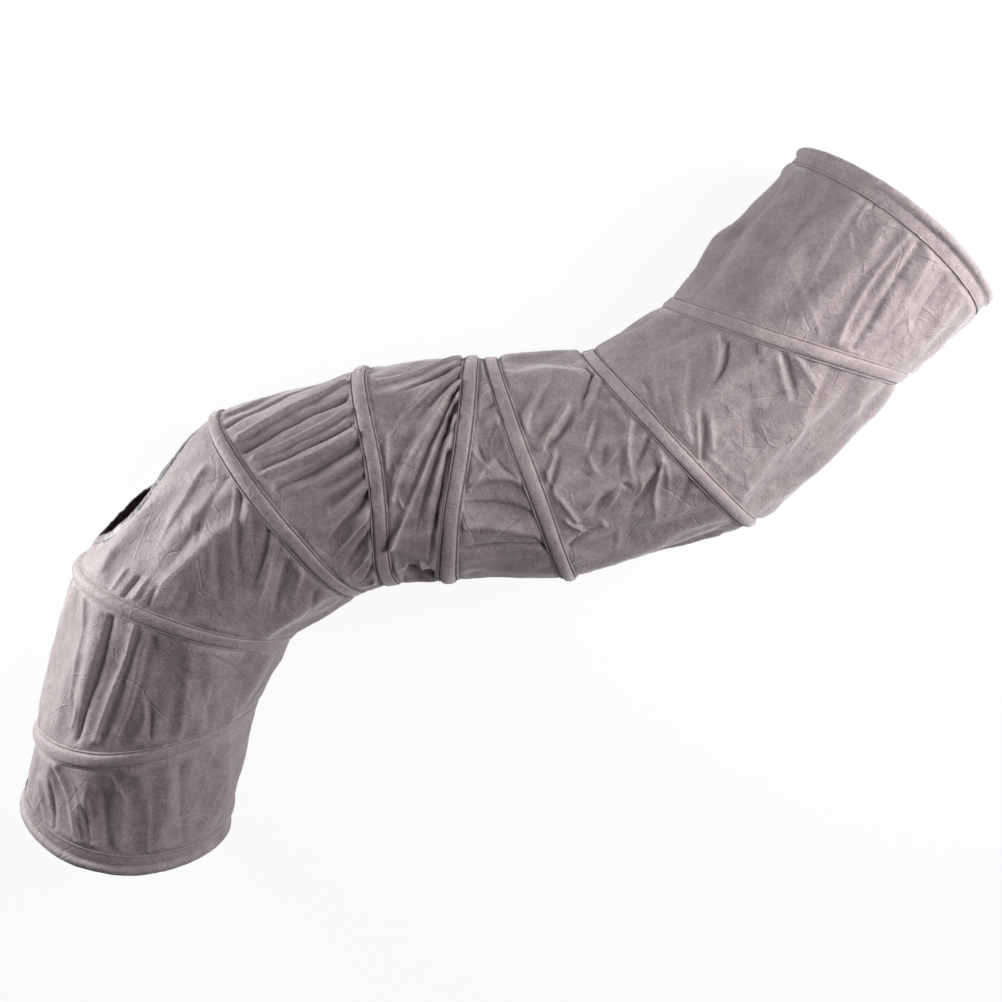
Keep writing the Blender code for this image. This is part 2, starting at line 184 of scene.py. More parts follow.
# Where the camera sees the tapes: left end, crown and right end, in pixels
picture = {
    "pixels": 1002,
    "tapeRing": 0.1245,
    "tapeSeen": {
        0: (22, 800, 97, 873, 228, 832), 2: (35, 731, 115, 763, 256, 708),
        4: (73, 564, 158, 624, 296, 634), 6: (213, 412, 275, 522, 362, 594),
        8: (360, 370, 377, 491, 385, 586), 10: (473, 351, 453, 500, 448, 566),
        12: (491, 352, 536, 493, 571, 581), 14: (586, 351, 680, 456, 753, 526),
        16: (666, 302, 807, 350, 906, 380), 18: (800, 150, 928, 219, 990, 303),
    },
    "samples": (401, 161),
}


# how far an end half turn's plane is moved out to its hoop
def hoopShift(number):
    if number not in (0, lastJoint):
        return np.zeros(3)
    return np.append(outwardNormal(number) * coil["hoopOut"], 0.0)


# where points are seen in the picture, in pixels
def seenAt(points):
    turn = np.array(Euler(lens["turn"]).to_matrix())
    offset = (points - np.array(lens["place"])) @ turn
    scale = picture["pixels"] * lens["focal"] / lens["sensor"]
    middle = picture["pixels"] / 2
    x = middle - scale * offset[..., 0] / offset[..., 2]
    y = middle + scale * offset[..., 1] / offset[..., 2]
    return np.stack([x, y], axis=-1)


# how far a tape's left end, crown and right end are seen from where the wire's ring puts them
def tapeDrift(number):
    phi = np.linspace(0, math.pi, 181)
    ring = ringPoints(corners, number, phi, picture["tapeRing"])
    seen = seenAt(ring + hoopShift(number))
    sides = np.stack([np.append(cornerAt(corners, number + n), middleHeight) for n in (0, 1)])
    ends = seenAt(sides + hoopShift(number))
    along = seen @ (ends[1] - ends[0])
    leftX, leftY, crownX, crownY, rightX, rightY = picture["tapeSeen"][number]
    left = np.array([leftX, leftY]) - seen[along.argmin()]
    crown = np.array([crownX, crownY]) - seen[90]
    return left, crown, np.array([rightX, rightY]) - seen[along.argmax()]


# The soft half turns lean a little from their upright planes, and their sides press in
leaning = {
    "hinge": 0.011,     # a hinged side moves less than this
    "hoop": 0.030,      # an end hoop's free side, and every crown
    "spread": 0.05,     # how far one tape's lean blends into the next one's
    "step": 0.001,      # for slopes
}


# the level move that shifts a place by a drift in the picture, held under a limit
def levelMove(place, drift, limit):
    step = leaning["step"]
    here = seenAt(place)
    columns = [(seenAt(place + step * np.eye(3)[axis]) - here) / step for axis in (0, 1)]
    move = np.linalg.solve(np.stack(columns, axis=1), drift)
    size = max(np.linalg.norm(move), 1e-9)
    return move * limit * math.tanh(size / limit) / size


# smooth field through the moves at a few places on the table
def fieldThrough(places, moves):
    places = np.array(places)
    apart = np.linalg.norm(places[:, None] - places[None], axis=-1)
    shares = np.linalg.solve(np.hypot(apart, leaning["spread"]), np.array(moves))
    return lambda at: np.hypot(
        np.linalg.norm(at[:, None, :2] - places[None], axis=-1), leaning["spread"]
    ) @ shares


def leanFields():
    sides, sideMoves, crowns, crownMoves = [], [], [], []
    for number in picture["tapeSeen"]:
        left, crown, right = tapeDrift(number)
        shift = hoopShift(number)
        for corner, drift in ((number, left), (number + 1, right)):
            place = np.append(cornerAt(corners, corner), middleHeight) + shift
            limit = leaning["hoop" if corner in (0, lastJoint + 1) else "hinge"]
            sides.append(place[:2])
            sideMoves.append(levelMove(place, drift, limit))
        upright = np.array([math.pi / 2])
        top = ringPoints(corners, number, upright, coil["clothRing"])[0] + shift
        crowns.append(top[:2])
        crownMoves.append(levelMove(top, crown, leaning["hoop"]))
    sideField = fieldThrough(sides, sideMoves)
    crownMoves = np.array(crownMoves) - sideField(np.array(crowns))
    return sideField, fieldThrough(crowns, crownMoves)


sideField, crownField = leanFields()


# nothing moves on the table, the sides move at mid height, and the crowns most at the top
def leanAt(points):
    onSides = smoothStep(0.0, middleHeight, points[:, 2])
    onCrowns = np.clip((points[:, 2] - middleHeight) / coil["clothRing"], 0, 1) ** 2
    level = sideField(points) * onSides[:, None] + crownField(points) * onCrowns[:, None]
    return np.concatenate([level, np.zeros((len(points), 1))], axis=1)


# the directions of a skin after it has leaned
def leanedNormals(points, normals):
    here, slopes = leanAt(points), []
    for way in np.eye(3):
        moved = leanAt(points + leaning["step"] * way) - here
        slopes.append((moved * normals).sum(1) / leaning["step"])
    return unit(normals - np.stack(slopes, axis=1))


# The cloth, one strip wound along the wire
cloth = {
    "along": 56,   # cells along a half turn
    "across": 20,  # cells from one turn of wire to the next
    "finer": 2,     # how often each cell is halved afterwards
    "collarCells": 5,
    "crowded": 0.45,         # how much closer together the cells are beside the wire
    "heldWidth": 0.0082,     # the cloth is held this far each side of the wire
    "looseWidth": 0.0125,
    "heldTip": (0.012, 0.024),       # and where the strip is narrower than this
    "heldCollar": (0.0172, 0.0212),  # and this near an end hoop
    "collarBays": (-5, 25),  # what the collars' faces are marked with
    "thickness": 0.0009,
    "cutWider": 1.10,        # how much wider and longer the cloth was cut than it now spans
    "cutExtraDeg": 0.6,
    "cutLonger": 1.025,
    "slant": 0.15,           # the tape pulls the cloth this much round the tube, per unit of width
    "slantHeld": 0.8,        # share of the held width where the pull starts
    "slantWidth": (0.03, 0.07),
    "slantReach": 0.382,     # length of a half turn
    "crumple": (0.045, 0.0020),      # size and height of what the simulation starts from
    "bulge": 0.0025,
    "rimHeld": 0.97,
    "cap": 0.013,
    "frames": 26,
    "gravity": 0.15,
    "seed": 11.0,
    "merge": 0.00002,
}


# the opening to which a wedge was cut
def cutOpening(opening):
    return min(coil["openDeg"], opening * cloth["cutWider"] + cloth["cutExtraDeg"])


cutLayout = layOut([cutOpening(o) for o in openings], coil["wireRing"] * cloth["cutLonger"])


def gridObject(name, cellsX, cellsY):
    bpy.ops.object.select_all(action="DESELECT")
    bpy.ops.mesh.primitive_grid_add(x_subdivisions=cellsX, y_subdivisions=cellsY, size=1.0)
    piece = bpy.context.object
    piece.name = piece.data.name = name
    return piece


def addAttribute(piece, name, kind, values, domain="POINT"):
    made = piece.data.attributes.new(name, kind, domain)
    values = np.asarray(values, np.int32 if kind == "INT" else np.float32)
    made.data.foreach_set("vector" if kind == "FLOAT_VECTOR" else "value", values.ravel())


def setPoints(mesh, points):
    mesh.vertices.foreach_set("co", np.asarray(points, np.float32).ravel())
    mesh.update()


def getPoints(mesh):
    points = np.zeros(len(mesh.vertices) * 3, np.float32)
    mesh.vertices.foreach_get("co", points)
    return points.reshape(-1, 3).astype(float)


# shares of the way from one turn of wire to the next, closer together beside the wire
def rowShares():
    even = np.linspace(0, 1, cloth["across"] + 1)
    eased = 0.5 - 0.5 * np.cos(math.pi * even)
    return (1 - cloth["crowded"]) * even + cloth["crowded"] * eased


# the strip's points, (columns, rows, 3), and the width of the strip at each column
def stripPoints(layout, longer=1.0, slant=None):
    ring, wire = coil["clothRing"] * longer, coil["wireRing"] * longer
    shares = rowShares()
    columns = []
    for bay in allBays:
        steps = cloth["along"] + (1 if bay == allBays[-1] else 0)
        at = np.arange(steps) / cloth["along"]
        rows = []
        for row, share in enumerate(shares):
            moved = at if slant is None else at + slant[bay + 1][:steps, row]
            phi = phiAlong(bay, moved)
            near = ringPoints(layout, bay, phi, ring, wire)
            far = ringPoints(layout, bay + 2, phi, ring, wire)
            rows.append(near * (1 - share) + far * share)
        columns.append(np.stack(rows, axis=1))
    points = np.concatenate(columns)
    return points, np.linalg.norm(points[:, -1] - points[:, 0], axis=1)


# how far round the tube each point was cut from where it now lies, in half turns
def cutSlant(widths):
    shares = rowShares()[None, :]
    whole = []
    held = cloth["heldWidth"] * cloth["slantHeld"]
    for bay in allBays:
        first = (bay + 1) * cloth["along"]
        width = widths[first: first + cloth["along"] + 1][:, None]
        free = np.clip((shares * width - held) / np.maximum(width - 2 * held, 1e-6), 0, 1)
        back = smoothStep(0.0, cloth["slantHeld"], (1 - shares) * width / cloth["heldWidth"])
        fade = smoothStep(*cloth["slantWidth"], width)
        edge = np.arange(len(width))[:, None] / cloth["along"]
        slant = cloth["slant"] * free * back * fade * width / cloth["slantReach"]
        if bay in (allBays[0], allBays[-1]):
            slant = np.zeros_like(slant)
        elif bay == allBays[1]:
            slant = slant * smoothStep(0.0, 0.5, edge)
        elif bay == allBays[-2]:
            slant = slant * (1 - smoothStep(0.5, 1.0, edge))
        whole.append(slant)
    return whole


# the short straight length between an end half turn's plane and the hoop
def collarPoints(layout, number, longer=1.0):
    ring, wire = coil["clothRing"] * longer, coil["wireRing"] * longer
    first = -1 if number == 0 else number
    phi = np.concatenate([
        [phiAlong(first, s / cloth["along"]) for s in range(cloth["along"])],
        [phiAlong(first + 1, s / cloth["along"]) for s in range(cloth["along"] + 1)],
    ])
    base = ringPoints(layout, number, phi, ring, wire)
    shares = np.linspace(0, 1, cloth["collarCells"] + 1)
    shift = np.append(outwardNormal(number, layout) * coil["hoopOut"], 0.0)
    return base[:, None] + shares[None, :, None] * shift


# a grid laid at its points, which also knows the shape to which it was cut, how firmly it is
# held and which bay its faces belong to
def clothGrid(name, points, cut, held, bays):
    grid = gridObject(name, points.shape[1] - 1, points.shape[0] - 1)
    setPoints(grid.data, points.reshape(-1, 3))
    addAttribute(grid, "cutShape", "FLOAT_VECTOR", cut)
    addAttribute(grid, "laid", "FLOAT_VECTOR", points)
    addAttribute(grid, "held", "FLOAT", held)
    addAttribute(grid, "bay", "INT", bays, "FACE")
    return grid


def clothObject():
    longer = cloth["cutLonger"]
    points, widths = stripPoints(corners)
    cut, _ = stripPoints(cutLayout, longer, cutSlant(widths))
    shares = rowShares()[None, :]
    fromNear = shares * widths[:, None]
    fromFar = (1 - shares) * widths[:, None]
    along = cloth["along"]
    fromNear[: 2 * along] = 1.0          # the first turn's edge is open cloth: the hoop holds it
    fromFar[(lastJoint - 1) * along:] = 1.0
    fromWire = np.minimum(fromNear, fromFar)
    held = 1 - smoothStep(cloth["heldWidth"], cloth["looseWidth"], fromWire)
    held = np.maximum(held, 1 - smoothStep(*cloth["heldTip"], widths[:, None]))
    strip = clothGrid("cloth", points, cut, held, np.repeat(allBays, along * cloth["across"]))
    parts = [strip]
    away = (1 - np.linspace(0, 1, cloth["collarCells"] + 1)) * coil["hoopOut"]
    rowHeld = 1 - smoothStep(*cloth["heldCollar"], away)
    for number, bay in zip((0, lastJoint), cloth["collarBays"]):
        collar = collarPoints(corners, number)
        columns = len(collar)
        parts.append(clothGrid(
            f"collar{number}", collar, collarPoints(cutLayout, number, longer),
            np.tile(rowHeld, columns), np.full((columns - 1) * cloth["collarCells"], bay),
        ))
    bpy.ops.object.select_all(action="DESELECT")
    for piece in parts:
        piece.select_set(True)
    bpy.context.view_layer.objects.active = strip
    bpy.ops.object.join()
    bpy.ops.object.mode_set(mode="EDIT")
    bpy.ops.mesh.select_all(action="SELECT")
    bpy.ops.mesh.remove_doubles(threshold=cloth["merge"])
    bpy.ops.mesh.normals_make_consistent(inside=False)
    bpy.ops.object.mode_set(mode="OBJECT")
    return strip


clothPiece = clothObject()
print("cloth grid", len(clothPiece.data.vertices), "points")


# The hole in the outer left side
hole = {
    "joint": 5,
    "halfLength": 0.078,
    "above": 0.060,        # the upper edge is this far up, and higher towards the low end
    "aboveTilt": 0.013,
    "tiltOver": 0.05,
    "below": 0.050,
    "drop": 0.004,
    "lip": 0.017,          # the lower edge stands out this far
    "lipAt": (0.026, -0.036),
    "lipSize": (0.045, 0.026),
    "searched": 0.03,      # how far from its edge faces and points are looked at
}
before = cornerAt(corners, hole["joint"] - 1) - cornerAt(corners, hole["joint"])
after = cornerAt(corners, hole["joint"] + 1) - cornerAt(corners, hole["joint"])
holeOut = np.append(unit(unit(before) + unit(after)), 0.0)
holeSide = np.array([-holeOut[1], holeOut[0], 0.0])
holeMiddle = np.append(cornerAt(corners, hole["joint"]), middleHeight - hole["drop"])
holeMiddle += holeOut * coil["wireRing"]


# distance from the hole's edge, seen along its axis, positive outside; far off on the other side
def holeDistance(points):
    offset = points - holeMiddle
    along, up = offset @ holeSide, offset[..., 2]
    top = hole["above"] + hole["aboveTilt"] * np.clip(along / hole["tiltOver"], -1, 1)
    stretched = up * hole["halfLength"] / np.where(up > 0, top, hole["below"])
    flat = np.hypot(along, stretched) - hole["halfLength"]
    return np.where(offset @ holeOut > 0, flat, 1.0)


# cuts the faces where the field, a function of a point, passes through zero; edges and points
# are kept in order, so that every run gives the same mesh
def splitAlong(shape, faces, field):
    tiny = 1e-6
    edges = dict.fromkeys(e for f in faces for e in f.edges)
    values = {v: field(v.co) for v in dict.fromkeys(v for e in edges for v in e.verts)}
    fresh = []
    for e in list(edges):
        a, b = e.verts
        fa, fb = values[a], values[b]
        if fa * fb >= 0 or min(abs(fa), abs(fb)) < tiny:
            continue
        _, v = bmesh.utils.edge_split(e, a, fa / (fa - fb))
        fresh.append(v)
    near = [v for v, f in values.items() if abs(f) < tiny]
    bmesh.ops.connect_verts(shape, verts=fresh + near, check_degenerate=False)


def holeAt(place):
    return float(holeDistance(np.array(place)))


def cutHole(piece):
    shape = bmesh.new()
    shape.from_mesh(piece.data)
    around = [f for f in shape.faces if holeAt(f.calc_center_median()) < hole["searched"]]
    splitAlong(shape, around, holeAt)
    inside = [f for f in shape.faces if holeAt(f.calc_center_median()) < 0]
    bmesh.ops.delete(shape, geom=inside, context="FACES")
    shape.to_mesh(piece.data)
    shape.free()
    return len(inside)


print("hole cut,", cutHole(clothPiece), "faces out")


# uneven all over, with features of about this size
def waves(points, size, seed, octaves=3):
    places = points / size + seed * np.array([1.0, -1.0, 0.5])
    return np.array([noise.fractal(Vector(p), 0.8, 2.1, octaves) for p in places])


def normalsOf(mesh):
    found = np.zeros(len(mesh.vertices) * 3, np.float32)
    mesh.vertex_normals.foreach_get("vector", found)
    return found.reshape(-1, 3).astype(float)


def attributeValues(mesh, name, kind="value", width=1):
    found = np.zeros(len(mesh.vertices) * width, np.float32)
    mesh.attributes[name].data.foreach_get(kind, found)
    return found.reshape(-1, width).astype(float) if width > 1 else found.astype(float)


# crumples and a bulge to start the simulation from
def startShape(piece):
    mesh = piece.data
    points, normals = getPoints(mesh), normalsOf(mesh)
    loose = 1 - attributeValues(mesh, "held")
    size, tall = cloth["crumple"]
    push = waves(points, size, cloth["seed"], 2) * tall + cloth["bulge"]
    setPoints(mesh, points + normals * (push * loose)[:, None])


def edgeVertices(mesh):
    shape = bmesh.new()
    shape.from_mesh(mesh)
    found = [v.index for v in shape.verts if v.is_boundary]
    shape.free()
    return np.array(found)


simulation = {
    "quality": 6,
    "mass": 0.25,
    "tension_stiffness": 20,
    "compression_stiffness": 20,
    "shear_stiffness": 8,
    "bending_stiffness": 2.0,
    "tension_damping": 8,
    "compression_damping": 8,
    "shear_damping": 6,
    "bending_damping": 0.5,
    "air_damping": 3,
    "pin_stiffness": 1.0,
}


def simulateCloth(piece):
    mesh = piece.data
    held = attributeValues(mesh, "held")
    start = getPoints(mesh)
    rim = edgeVertices(mesh)
    rim = rim[holeDistance(start[rim]) < hole["searched"]]
    held[rim] = cloth["rimHeld"]
    group = piece.vertex_groups.new(name="held")
    for index in np.nonzero(held > 0.001)[0]:
        group.add([int(index)], float(held[index]), "REPLACE")
    piece.shape_key_add(name="asLaid", from_mix=False)
    key = piece.shape_key_add(name="asCut", from_mix=False)
    key.data.foreach_set("co", attributeValues(mesh, "cutShape", "vector", 3).astype(np.float32).ravel())
    key.value = 0.0
    modifier = piece.modifiers.new("Cloth", "CLOTH")
    settings = modifier.settings
    for setting, value in simulation.items():
        setattr(settings, setting, value)
    settings.vertex_group_mass = "held"
    settings.rest_shape_key = key
    settings.effector_weights.gravity = cloth["gravity"]
    modifier.collision_settings.use_collision = False
    modifier.collision_settings.use_self_collision = False
    modifier.point_cache.frame_start = 1
    modifier.point_cache.frame_end = cloth["frames"]
    scene = bpy.context.scene
    for number in range(1, cloth["frames"] + 1):
        scene.frame_set(number)
    graph = bpy.context.evaluated_depsgraph_get()
    settled = bpy.data.meshes.new_from_object(
        piece.evaluated_get(graph), preserve_all_data_layers=True, depsgraph=graph,
    )
    piece.modifiers.clear()
    piece.shape_key_clear()
    piece.data = settled
    scene.frame_set(1)
    moved = getPoints(settled) - start
    far = np.linalg.norm(moved, axis=1)
    average, most = (round(float(value) * 1000, 1) for value in (far.mean(), far.max()))
    print("cloth moved", average, "mm on average and", most, "mm at most")
    keep = cloth["cap"] * np.tanh(far / cloth["cap"]) / np.maximum(far, 1e-9)
    setPoints(settled, start + moved * keep[:, None])


startShape(clothPiece)
simulateCloth(clothPiece)
print("cloth shaped")


# Folds and creases seen from the camera, by the half turn they start from: width and height in
# mm, a valley's height being negative, then places in the picture, x and y in pixels
folds = {
    0: [
        (5, 1.6, 58, 768, 68, 800, 82, 848), (4.5, -1.8, 52, 770, 52, 800, 56, 832),
        (5, 1.3, 40, 772, 42, 800, 48, 830), (5, -1.4, 70, 775, 80, 805, 92, 845),
        (5, 1, 84, 785, 96, 850), (2, 0.7, 112, 780, 120, 796, 130, 810),
        (2.2, 0.9, 240, 742, 220, 785, 205, 825), (2, -0.8, 30, 790, 34, 815),
        (8, -1, 100, 780, 110, 850), (7, 0.9, 150, 778, 150, 860), (7, -0.8, 180, 770, 185, 850),
        (2, 0.6, 75, 800, 88, 838), (1.8, 0.5, 190, 770, 215, 790),
    ],
    2: [
        (8, 1.8, 86, 600, 78, 650, 66, 715), (6, -3.2, 112, 618, 104, 652, 92, 690, 78, 738),
        (5.5, 2.6, 136, 628, 124, 668, 108, 702, 96, 742), (7, -2.2, 152, 640, 140, 690, 120, 742),
        (2, -1.5, 71, 688, 73, 705, 71, 720), (2.2, 1.1, 78, 690, 79, 712, 72, 728),
        (1.9, -1.7, 145, 697, 151, 714, 150, 738), (2.2, 1.2, 140, 690, 145, 712, 143, 736),
        (1.8, 0.8, 162, 655, 182, 680, 202, 702), (1.8, -0.9, 200, 682, 206, 712),
        (1.8, -0.8, 103, 642, 118, 672, 124, 690, 138, 702), (1.9, -0.9, 152, 632, 158, 660),
        (7, 1.1, 190, 660, 178, 742), (8, -1.2, 215, 665, 208, 730),
        (1.7, -0.8, 212, 655, 228, 662, 238, 672), (6, 0.9, 244, 680, 225, 730),
        (2.5, 0.9, 90, 600, 102, 612), (2, 0.6, 60, 650, 62, 690),
        (1.6, 0.7, 118, 745, 140, 738, 146, 750), (1.8, -0.7, 148, 668, 143, 690),
    ],
    4: [
        (4.5, 1.6, 124, 572, 114, 588), (4, -2, 136, 578, 124, 596), (4.5, 1.9, 150, 574, 137, 598),
        (4.5, -1.8, 160, 582, 148, 604), (5, 1.4, 182, 578, 165, 606), (6, -1.3, 196, 585, 180, 614),
        (2, 1.5, 190, 500, 194, 530, 196, 556), (1.8, -1.2, 194, 505, 199, 532, 201, 556),
        (1.8, -1, 182, 515, 184, 530), (2, -1.4, 203, 540, 209, 556, 203, 584),
        (2.2, 1.4, 237, 490, 233, 530, 234, 575, 237, 606), (2.5, -1.4, 241, 500, 238, 550, 241, 600),
        (5, -2.4, 268, 530, 260, 562, 248, 598), (5, 1.8, 276, 540, 266, 575, 256, 612),
        (5, -2, 286, 560, 276, 600, 270, 622), (5, 1.5, 300, 570, 290, 612),
        (4, -1.4, 312, 590, 304, 618), (7, -1.5, 222, 520, 215, 570, 222, 612),
        (8, 1.6, 205, 470, 170, 520, 150, 560), (8, -1.5, 225, 480, 190, 540, 165, 572),
        (1.8, 0.8, 85, 548, 89, 564, 98, 578), (9, 1.2, 120, 545, 105, 570), (2, 0.7, 240, 582, 228, 560),
        (1.8, 0.6, 208, 470, 196, 480), (6, 1.2, 249, 505, 250, 540, 243, 570),
        (1.7, 0.6, 165, 540, 185, 560, 200, 590),
    ],
    6: [
        (5, 2, 240, 440, 300, 408, 348, 386), (5, -1.9, 243, 450, 300, 418, 350, 398),
        (4.5, 2.2, 256, 460, 310, 432, 352, 412), (4.5, -2.4, 262, 468, 320, 440, 355, 424),
        (4.5, 2, 266, 476, 320, 452, 357, 434), (5.5, -2.4, 276, 486, 325, 462, 360, 442),
        (6, 1.8, 286, 496, 330, 476, 362, 456), (7, -1.6, 300, 512, 335, 496, 364, 476),
        (6, 1.4, 310, 528, 340, 508, 367, 486), (5, -3, 322, 548, 345, 518, 368, 492),
        (5, 2.2, 332, 556, 352, 532, 372, 508), (4.5, -2.4, 342, 564, 360, 542, 375, 524),
        (4.5, 1.8, 350, 572, 364, 556, 378, 538), (4, -1.8, 360, 578, 370, 566, 381, 552),
        (4, 1.5, 368, 582, 380, 566), (6, -1.5, 226, 428, 280, 400, 345, 376),
        (5, 1.4, 226, 418, 290, 392), (1.8, 0.6, 260, 400, 280, 418), (1.6, 0.5, 325, 500, 330, 520),
        (1.8, 0.7, 275, 405, 330, 440),
    ],
    8: [
        (4.5, 1.5, 463, 358, 420, 372, 380, 384), (4.5, -1.8, 462, 364, 420, 384, 384, 402),
        (5, 1.8, 462, 368, 425, 396, 388, 430), (4.5, -2.2, 461, 376, 430, 404, 390, 448),
        (6, 2.4, 459, 384, 428, 424, 398, 470, 392, 500),
        (4.2, -4.5, 457, 390, 436, 424, 416, 468, 405, 505),
        (2.8, 3.6, 456, 396, 437, 436, 420, 482, 402, 520, 394, 540),
        (4.5, -5.5, 453, 408, 434, 450, 420, 500, 410, 550),
        (3, 3.4, 452, 420, 440, 462, 428, 510, 418, 556),
        (4.5, -5, 447, 455, 440, 490, 432, 530, 430, 556), (2.5, 2.4, 448, 480, 443, 520, 441, 552),
        (1.8, -1.4, 452, 428, 445, 440, 442, 436), (2, 1.2, 398, 495, 404, 510, 410, 502),
        (1.8, 0.9, 392, 462, 398, 478), (5, 2.4, 398, 548, 404, 572), (4.5, -2.6, 410, 552, 412, 572),
        (5, 2, 421, 552, 430, 562), (6, 1, 386, 440, 384, 470), (1.6, 0.6, 395, 425, 402, 412),
        (15, -5.4, 414, 556, 424, 590), (4, -2.7, 405, 565, 402, 582), (4, -2.7, 432, 560, 436, 582),
    ],
    10: [
        (5, 1.2, 474, 402, 486, 392, 496, 386), (4.5, -1.2, 474, 415, 500, 400),
        (6, 1.2, 472, 432, 504, 418), (2, -0.9, 474, 440, 480, 458, 486, 466),
        (2, 0.9, 468, 492, 484, 468, 500, 456), (1.8, -0.9, 492, 456, 504, 470, 516, 478),
        (7, 1.5, 466, 484, 500, 476, 524, 482), (7, -1.6, 464, 504, 500, 504, 534, 514),
        (8, 1.4, 462, 524, 500, 526, 538, 536), (5, -1.3, 462, 544, 500, 544, 545, 546),
        (2, -1, 535, 540, 545, 548), (2.2, 0.8, 500, 420, 508, 450, 520, 478),
        (2, 0.7, 528, 545, 526, 565), (1.6, 0.6, 478, 380, 498, 376), (3, -0.8, 488, 385, 500, 395),
        (1.8, 0.6, 470, 455, 486, 470, 500, 476),
    ],
    12: [
        (4, 2.8, 571, 388, 568, 408, 552, 428, 541, 448), (3.2, -2.6, 576, 404, 563, 426, 546, 446),
        (2, -2, 592, 375, 583, 394, 577, 412), (2.4, 1.5, 598, 380, 588, 400, 582, 412),
        (1.8, -1.4, 586, 368, 592, 376), (2.2, 1.6, 556, 446, 550, 462, 546, 480),
        (2, -1.8, 560, 450, 554, 470, 548, 488), (2.2, 2, 630, 422, 625, 446, 630, 470, 635, 494),
        (2, 1.6, 625, 442, 610, 456, 602, 470), (1.9, -1.4, 622, 455, 618, 480),
        (2, -1.6, 648, 436, 641, 454, 632, 470),
        (2.4, 2, 662, 460, 657, 480, 655, 500, 658, 520, 650, 532),
        (2.8, -3, 658, 468, 650, 490, 634, 508, 628, 522), (2.6, -2.6, 612, 488, 600, 504, 592, 520),
        (2.4, 1.8, 622, 480, 612, 500, 606, 516), (2, 1.5, 558, 498, 568, 512, 576, 522),
        (2, 1.4, 580, 516, 592, 500, 600, 490), (2, 1.6, 564, 520, 580, 530, 592, 536),
        (2.2, -2, 570, 548, 584, 536, 600, 528), (2, 1.4, 600, 520, 608, 530),
        (2.2, -1.8, 620, 480, 633, 492), (2.4, 1.6, 640, 470, 644, 490, 636, 510),
        (6, 1.4, 560, 366, 530, 400, 525, 430), (6, -1.4, 600, 400, 590, 440, 580, 470),
        (5, 1.2, 660, 450, 672, 480, 670, 510), (3, -1.2, 664, 465, 668, 500),
        (5, -1.2, 690, 480, 670, 520), (3, 1, 585, 445, 590, 470, 605, 480),
        (1.8, 0.8, 596, 408, 588, 428, 584, 448), (2.2, 1.2, 618, 520, 622, 540, 614, 556),
        (2.2, -1.2, 630, 525, 634, 548), (6, 1.2, 640, 560, 680, 545, 720, 532),
        (2, 1.1, 645, 530, 652, 545), (1.8, -1, 575, 470, 592, 478), (1.8, 0.9, 544, 470, 556, 500),
        (2, 1, 612, 400, 626, 424), (2.2, -1, 605, 440, 600, 470), (20, 1.6, 510, 350, 545, 350, 575, 350),
    ],
    14: [
        (2.2, -2.8, 701, 400, 706, 430, 704, 460), (3.5, 1.6, 696, 404, 700, 432, 700, 458),
        (5, 1.4, 712, 410, 714, 450), (4, -1.9, 726, 344, 722, 370, 710, 392),
        (3, 1.3, 717, 338, 719, 362, 708, 388), (2.4, -2.4, 783, 352, 792, 376, 798, 408),
        (3, 1.4, 778, 358, 786, 384, 794, 412), (2.6, 1.2, 794, 352, 804, 366, 816, 386),
        (1.8, 0.9, 650, 335, 655, 368, 655, 400), (1.8, 0.9, 668, 360, 664, 388, 670, 408, 678, 430),
        (2, 1, 713, 458, 735, 480, 762, 490), (1.8, 0.8, 718, 434, 742, 460),
        (1.8, -0.9, 705, 338, 714, 358), (2, -1, 756, 345, 760, 362), (2, 0.9, 765, 345, 755, 362),
        (9, 1.4, 690, 340, 680, 400, 690, 440), (10, -1.3, 745, 360, 750, 420, 760, 470),
        (8, 1.2, 820, 380, 800, 430, 780, 480), (1.8, 0.8, 770, 400, 762, 415),
        (1.7, 0.7, 728, 400, 738, 425), (1.8, 0.7, 745, 470, 748, 490), (7, -1, 645, 370, 650, 410),
        (8, 1, 860, 400, 850, 430), (1.6, 0.6, 810, 400, 812, 420), (1.7, 0.7, 800, 470, 770, 492),
        (1.7, -0.7, 640, 380, 660, 400), (24, 3.4, 775, 510, 820, 466, 880, 406),
    ],
    16: [
        (6, 2.2, 910, 232, 882, 264, 856, 304, 838, 342),
        (6, -2.4, 918, 244, 892, 282, 866, 322, 852, 348), (7, 1.4, 930, 258, 905, 300, 885, 340),
        (7, -1.2, 945, 275, 920, 320, 905, 352), (6, 1, 955, 290, 935, 330),
        (1.9, 0.9, 793, 218, 794, 238, 797, 254), (1.9, 1, 790, 262, 800, 290, 812, 314, 820, 332),
        (1.8, 0.8, 812, 232, 816, 246, 822, 260), (1.8, 1, 868, 204, 861, 212, 857, 222),
        (1.8, 0.9, 849, 234, 853, 252), (1.9, 0.8, 902, 304, 912, 326, 918, 338),
        (1.8, -0.9, 867, 320, 868, 340), (1.8, -0.8, 752, 236, 776, 246, 790, 250),
        (10, 1.3, 860, 200, 830, 240, 800, 300), (10, -1.2, 830, 190, 790, 240, 760, 290),
        (9, 1, 790, 180, 750, 230, 720, 270), (1.8, -0.8, 702, 262, 730, 276, 748, 284),
        (1.9, 0.8, 845, 280, 838, 296), (1.8, 0.7, 820, 320, 840, 306, 852, 296),
        (1.8, -0.7, 740, 215, 765, 225), (1.7, 0.7, 880, 240, 862, 256), (2, 0.9, 848, 350, 862, 356),
        (1.8, -0.8, 782, 262, 798, 300), (1.6, 0.6, 800, 270, 840, 282),
        (30, 8, 686, 268, 708, 238, 738, 206), (20, 2.2, 918, 370, 940, 352, 954, 340),
    ],
}
